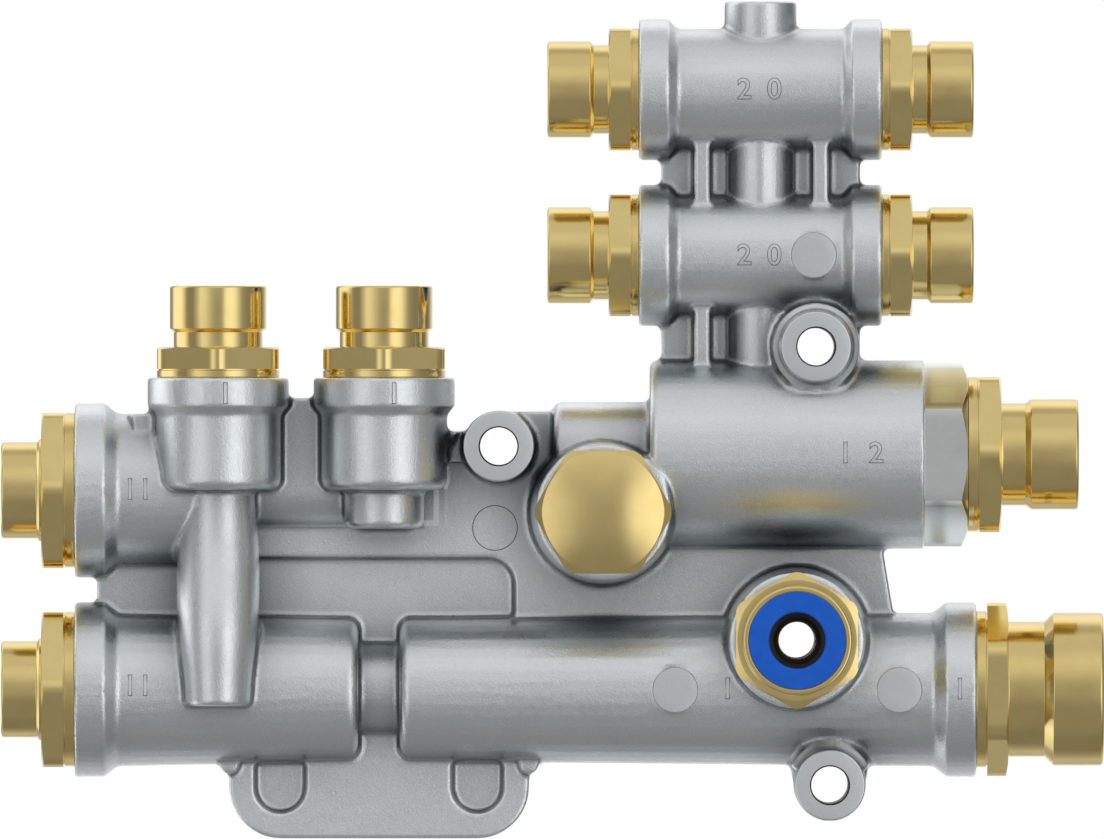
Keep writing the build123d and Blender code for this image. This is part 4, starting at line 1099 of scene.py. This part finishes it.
def camera():
    """Camera straight in front, as far off as its long lens needs for the photograph's frame."""
    data = bpy.data.cameras.new("camera")
    data.lens = LENS
    data.sensor_width = SENSOR
    data.sensor_fit = "HORIZONTAL"
    data.clip_end = CAMERA_REACH
    placed = add_object("camera", data)
    distance = PHOTO_SIZE[0] * PIXEL * LENS / SENSOR
    middle_x = (PHOTO_SIZE[0] / 2 - ORIGIN_PIXEL[0]) * PIXEL
    middle_z = (ORIGIN_PIXEL[1] - PHOTO_SIZE[1] / 2) * PIXEL
    placed.location = (middle_x, TUBE_PLANE_Y - distance, middle_z)
    placed.rotation_euler = (math.radians(90), 0, 0)
    bpy.context.scene.camera = placed


def lamp(name, place, size, power):
    """Rectangular soft lamp that looks at the part and doesn't show in gloss."""
    data = bpy.data.lights.new(name, "AREA")
    data.shape = "RECTANGLE"
    data.size, data.size_y = size
    data.energy = power
    placed = add_object(name, data)
    placed.location = place
    placed.rotation_euler = (Vector(LAMP_AIM) - Vector(place)).to_track_quat("-Z", "Y").to_euler()
    placed.visible_glossy = False


class World:
    """World shader under construction."""

    def __init__(self):
        world = bpy.data.worlds.new("studio")
        bpy.context.scene.world = world
        world.use_nodes = True
        self.nodes = world.node_tree.nodes
        self.links = world.node_tree.links
        self.nodes.clear()

    def math(self, operation, first, second):
        """Result of an operation on two values, each a number or the output of a node."""
        node = self.nodes.new("ShaderNodeMath")
        node.operation = operation
        for value, socket in zip((first, second), node.inputs):
            if isinstance(value, (int, float)):
                socket.default_value = value
            else:
                self.links.new(value, socket)
        return node.outputs[0]

    def share(self, value, start, end, smooth):
        """From 0 to 1 as the value goes from start to end."""
        node = self.nodes.new("ShaderNodeMapRange")
        node.interpolation_type = "SMOOTHSTEP" if smooth else "LINEAR"
        node.inputs["From Min"].default_value = start
        node.inputs["From Max"].default_value = end
        self.links.new(value, node.inputs["Value"])
        return node.outputs["Result"]

    def ramp(self, angle, levels):
        """Brightness by an angle in radians, from (degrees, level) stops."""
        node = self.nodes.new("ShaderNodeValToRGB")
        stops = node.color_ramp.elements
        for degrees, level in levels[1:-1]:
            stops.new((degrees + 180) / 360).color = (level, level, level, 1)
        for stop, (_, level) in ((stops[0], levels[0]), (stops[-1], levels[-1])):
            stop.color = (level, level, level, 1)
        self.links.new(self.share(angle, -math.pi, math.pi, False), node.inputs["Fac"])
        return node.outputs["Color"]

    def mix(self, share, first, second):
        """Mixture of two colours or of two shaders."""
        shaders = first.type == "SHADER"
        node = self.nodes.new("ShaderNodeMixShader" if shaders else "ShaderNodeMixRGB")
        for source, socket in zip((share, first, second), node.inputs):
            self.links.new(source, socket)
        return node.outputs[0]

    def background(self, colour=None, strength=1.0):
        """Background of a colour, white where none is given."""
        node = self.nodes.new("ShaderNodeBackground")
        node.inputs["Color"].default_value = (1, 1, 1, 1)
        node.inputs["Strength"].default_value = strength
        if colour is not None:
            self.links.new(colour, node.inputs["Color"])
        return node.outputs[0]


# Diffuse fill, and what gloss sees: brightness by the angle from straight in front,
# to the right on the level and upwards over the top, and over what span of steepness
# the one passes into the other. The white backdrop is behind.
FILL = 0.5
STEEP_SPAN = 0.3
LIGHT_ROUND = (
    (-180, 1.0),
    (-172, 1.0),
    (-162, 0.35),
    (-148, 0.3),
    (-138, 0.5),
    (-131, 1.2),
    (-100, 1.25),
    (-91, 0.9),
    (-80, 0.3),
    (-62, 0.27),
    (-50, 0.6),
    (-42, 0.95),
    (-32, 0.9),
    (-20, 0.65),
    (-8, 0.45),
    (2, 0.36),
    (10, 0.5),
    (18, 1.1),
    (30, 1.25),
    (42, 1.1),
    (50, 0.75),
    (60, 0.37),
    (75, 0.27),
    (92, 0.25),
    (102, 0.14),
    (128, 0.2),
    (140, 0.45),
    (150, 0.75),
    (165, 0.9),
    (180, 1.0),
)
LIGHT_OVER = (
    (-180, 1.0),
    (-170, 1.2),
    (-160, 1.0),
    (-151, 0.5),
    (-132, 0.6),
    (-120, 0.42),
    (-105, 0.25),
    (-80, 0.25),
    (-65, 0.29),
    (-28, 0.3),
    (-10, 0.37),
    (0, 0.42),
    (12, 0.5),
    (30, 0.7),
    (42, 0.78),
    (52, 0.75),
    (62, 0.67),
    (90, 0.66),
    (101, 0.5),
    (110, 0.55),
    (120, 0.95),
    (130, 1.15),
    (145, 1.05),
    (160, 0.85),
    (180, 1.0),
)


def surroundings():
    """Studio round the part: a white backdrop, plain fill, and soft strips of light for gloss."""
    world = World()
    path = world.nodes.new("ShaderNodeLightPath").outputs
    way = world.nodes.new("ShaderNodeTexCoord").outputs["Generated"]
    parts = world.nodes.new("ShaderNodeSeparateXYZ")
    world.links.new(way, parts.inputs["Vector"])
    across, back, up = parts.outputs
    front = world.math("MULTIPLY", back, -1)
    level = world.ramp(world.math("ARCTAN2", across, front), LIGHT_ROUND)
    height = world.ramp(world.math("ARCTAN2", up, front), LIGHT_OVER)
    steep = world.math("SUBTRACT", world.math("ABSOLUTE", up, 0), world.math("ABSOLUTE", across, 0))
    share = world.share(steep, -STEEP_SPAN, STEEP_SPAN, True)
    gloss = world.mix(share, level, height)
    mirrored = world.math("MAXIMUM", path["Is Glossy Ray"], path["Is Transmission Ray"])
    lit = world.mix(mirrored, world.background(strength=FILL), world.background(gloss))
    shown = world.mix(path["Is Camera Ray"], lit, world.background())
    output = world.nodes.new("ShaderNodeOutputWorld")
    world.links.new(shown, output.inputs["Surface"])


bpy.context.scene.view_settings.view_transform = "Standard"
camera()
surroundings()
for name, (place, size, power) in LAMPS.items():
    lamp(name, place, size, power)

# Finishes: colour where bright and where dull or worn, least roughness, and where they have
# grooves or a grain its width and depth in millimetres
cast_aluminium = cast_finish()
turned_brass = turned_finish("turned_brass", (0.84, 0.66, 0.28), (0.79, 0.61, 0.25), 0.1, 0.12, 0.003)
drawn_brass = drawn_finish("drawn_brass", (0.86, 0.685, 0.295), (0.82, 0.65, 0.275), 0.13)
# A dark copy of the brass, as painted shade deep in the sockets
painted_shade_brass = turned_finish("painted_shade_brass", (0.03, 0.024, 0.014), (0.015, 0.012, 0.008), 0.3, 0.2, 0.004)
# A dark copy of the casting, as painted shade in the holes of the eyes and in the line round a pin mark
painted_shade_casting = turned_finish("painted_shade_casting", (0.07, 0.075, 0.08), (0.04, 0.043, 0.046), 0.4, 0.2, 0.004)
shaded_casting = turned_finish("shaded_casting", (0.30, 0.32, 0.33), (0.24, 0.255, 0.26), 0.4, 0.2, 0.004)
faced_aluminium = faced_finish()
turned_aluminium = turned_finish(
    "turned_aluminium", (0.82, 0.84, 0.83), (0.76, 0.78, 0.77), 0.16, 0.15, 0.005
)
drawn_aluminium = drawn_finish("drawn_aluminium", (0.84, 0.87, 0.865), (0.79, 0.82, 0.815), 0.18)
blue_plastic = moulded_finish(
    "blue_plastic", (0.004, 0.072, 0.40), (0.006, 0.084, 0.44), 0.34, 0.25, 0.01, specular=0.25
)
black_rubber = moulded_finish("black_rubber", (0.012, 0.012, 0.013), (0.02, 0.02, 0.021), 0.45, 0.2, 0.01)
white_plastic = moulded_finish("white_plastic", (0.78, 0.78, 0.75), (0.72, 0.72, 0.69), 0.4, 0.3, 0.008)
spring_steel = turned_finish("spring_steel", (0.55, 0.55, 0.57), (0.46, 0.46, 0.48), 0.2, 0.1, 0.004)

FINISHES = {
    "cast_aluminium": cast_aluminium,
    "turned_brass": turned_brass,
    "inner_brass": turned_brass,
    "blue_plastic": blue_plastic,
    "machined_aluminium": turned_aluminium,
    "spring_steel": spring_steel,
    "white_plastic": white_plastic,
    "black_rubber": black_rubber,
}
for subpart in frame["record"]["subparts"]:
    node = frame["nodes"][subpart["node"]]
    node.data.materials.clear()
    node.data.materials.append(FINISHES[subpart["material_slot"]])

for port in PORTS:
    fitting(port, (turned_brass, drawn_brass, painted_shade_brass))
    release_ring(port, blue_plastic)
lip_seals(black_rubber)
closing_plug((turned_brass, drawn_brass))
valve_insert((turned_aluminium, drawn_aluminium))
for name in EYE_MOUNTS:
    eye_face(name, (faced_aluminium, painted_shade_casting))
for index, (x, z, level) in enumerate(PIN_PADS):
    pin_pad(index, x, z, level, faced_aluminium)
pin_outline(*PIN_OUTLINE, painted_shade_casting)
cast = casting(cast_aluminium)
cast_points, cast_triangles = mesh_arrays(cast.data)
cast_surface = BVHTree.FromPolygons(cast_points.tolist(), cast_triangles.tolist())
for index, (digit, x, z) in enumerate(NUMERALS):
    numeral(index, digit, x, z, (cast_aluminium, shaded_casting), cast_surface)

turns = np.linspace(0, 2 * math.pi, SEGMENTS + 1)[:-1]
rim = [(FLOOR_R * math.cos(turn), FLOOR_R * math.sin(turn), FLOOR_Z) for turn in turns]
floor = new_piece("floor", rim, [tuple(range(len(rim)))], [floor_finish()])
floor.visible_glossy = False
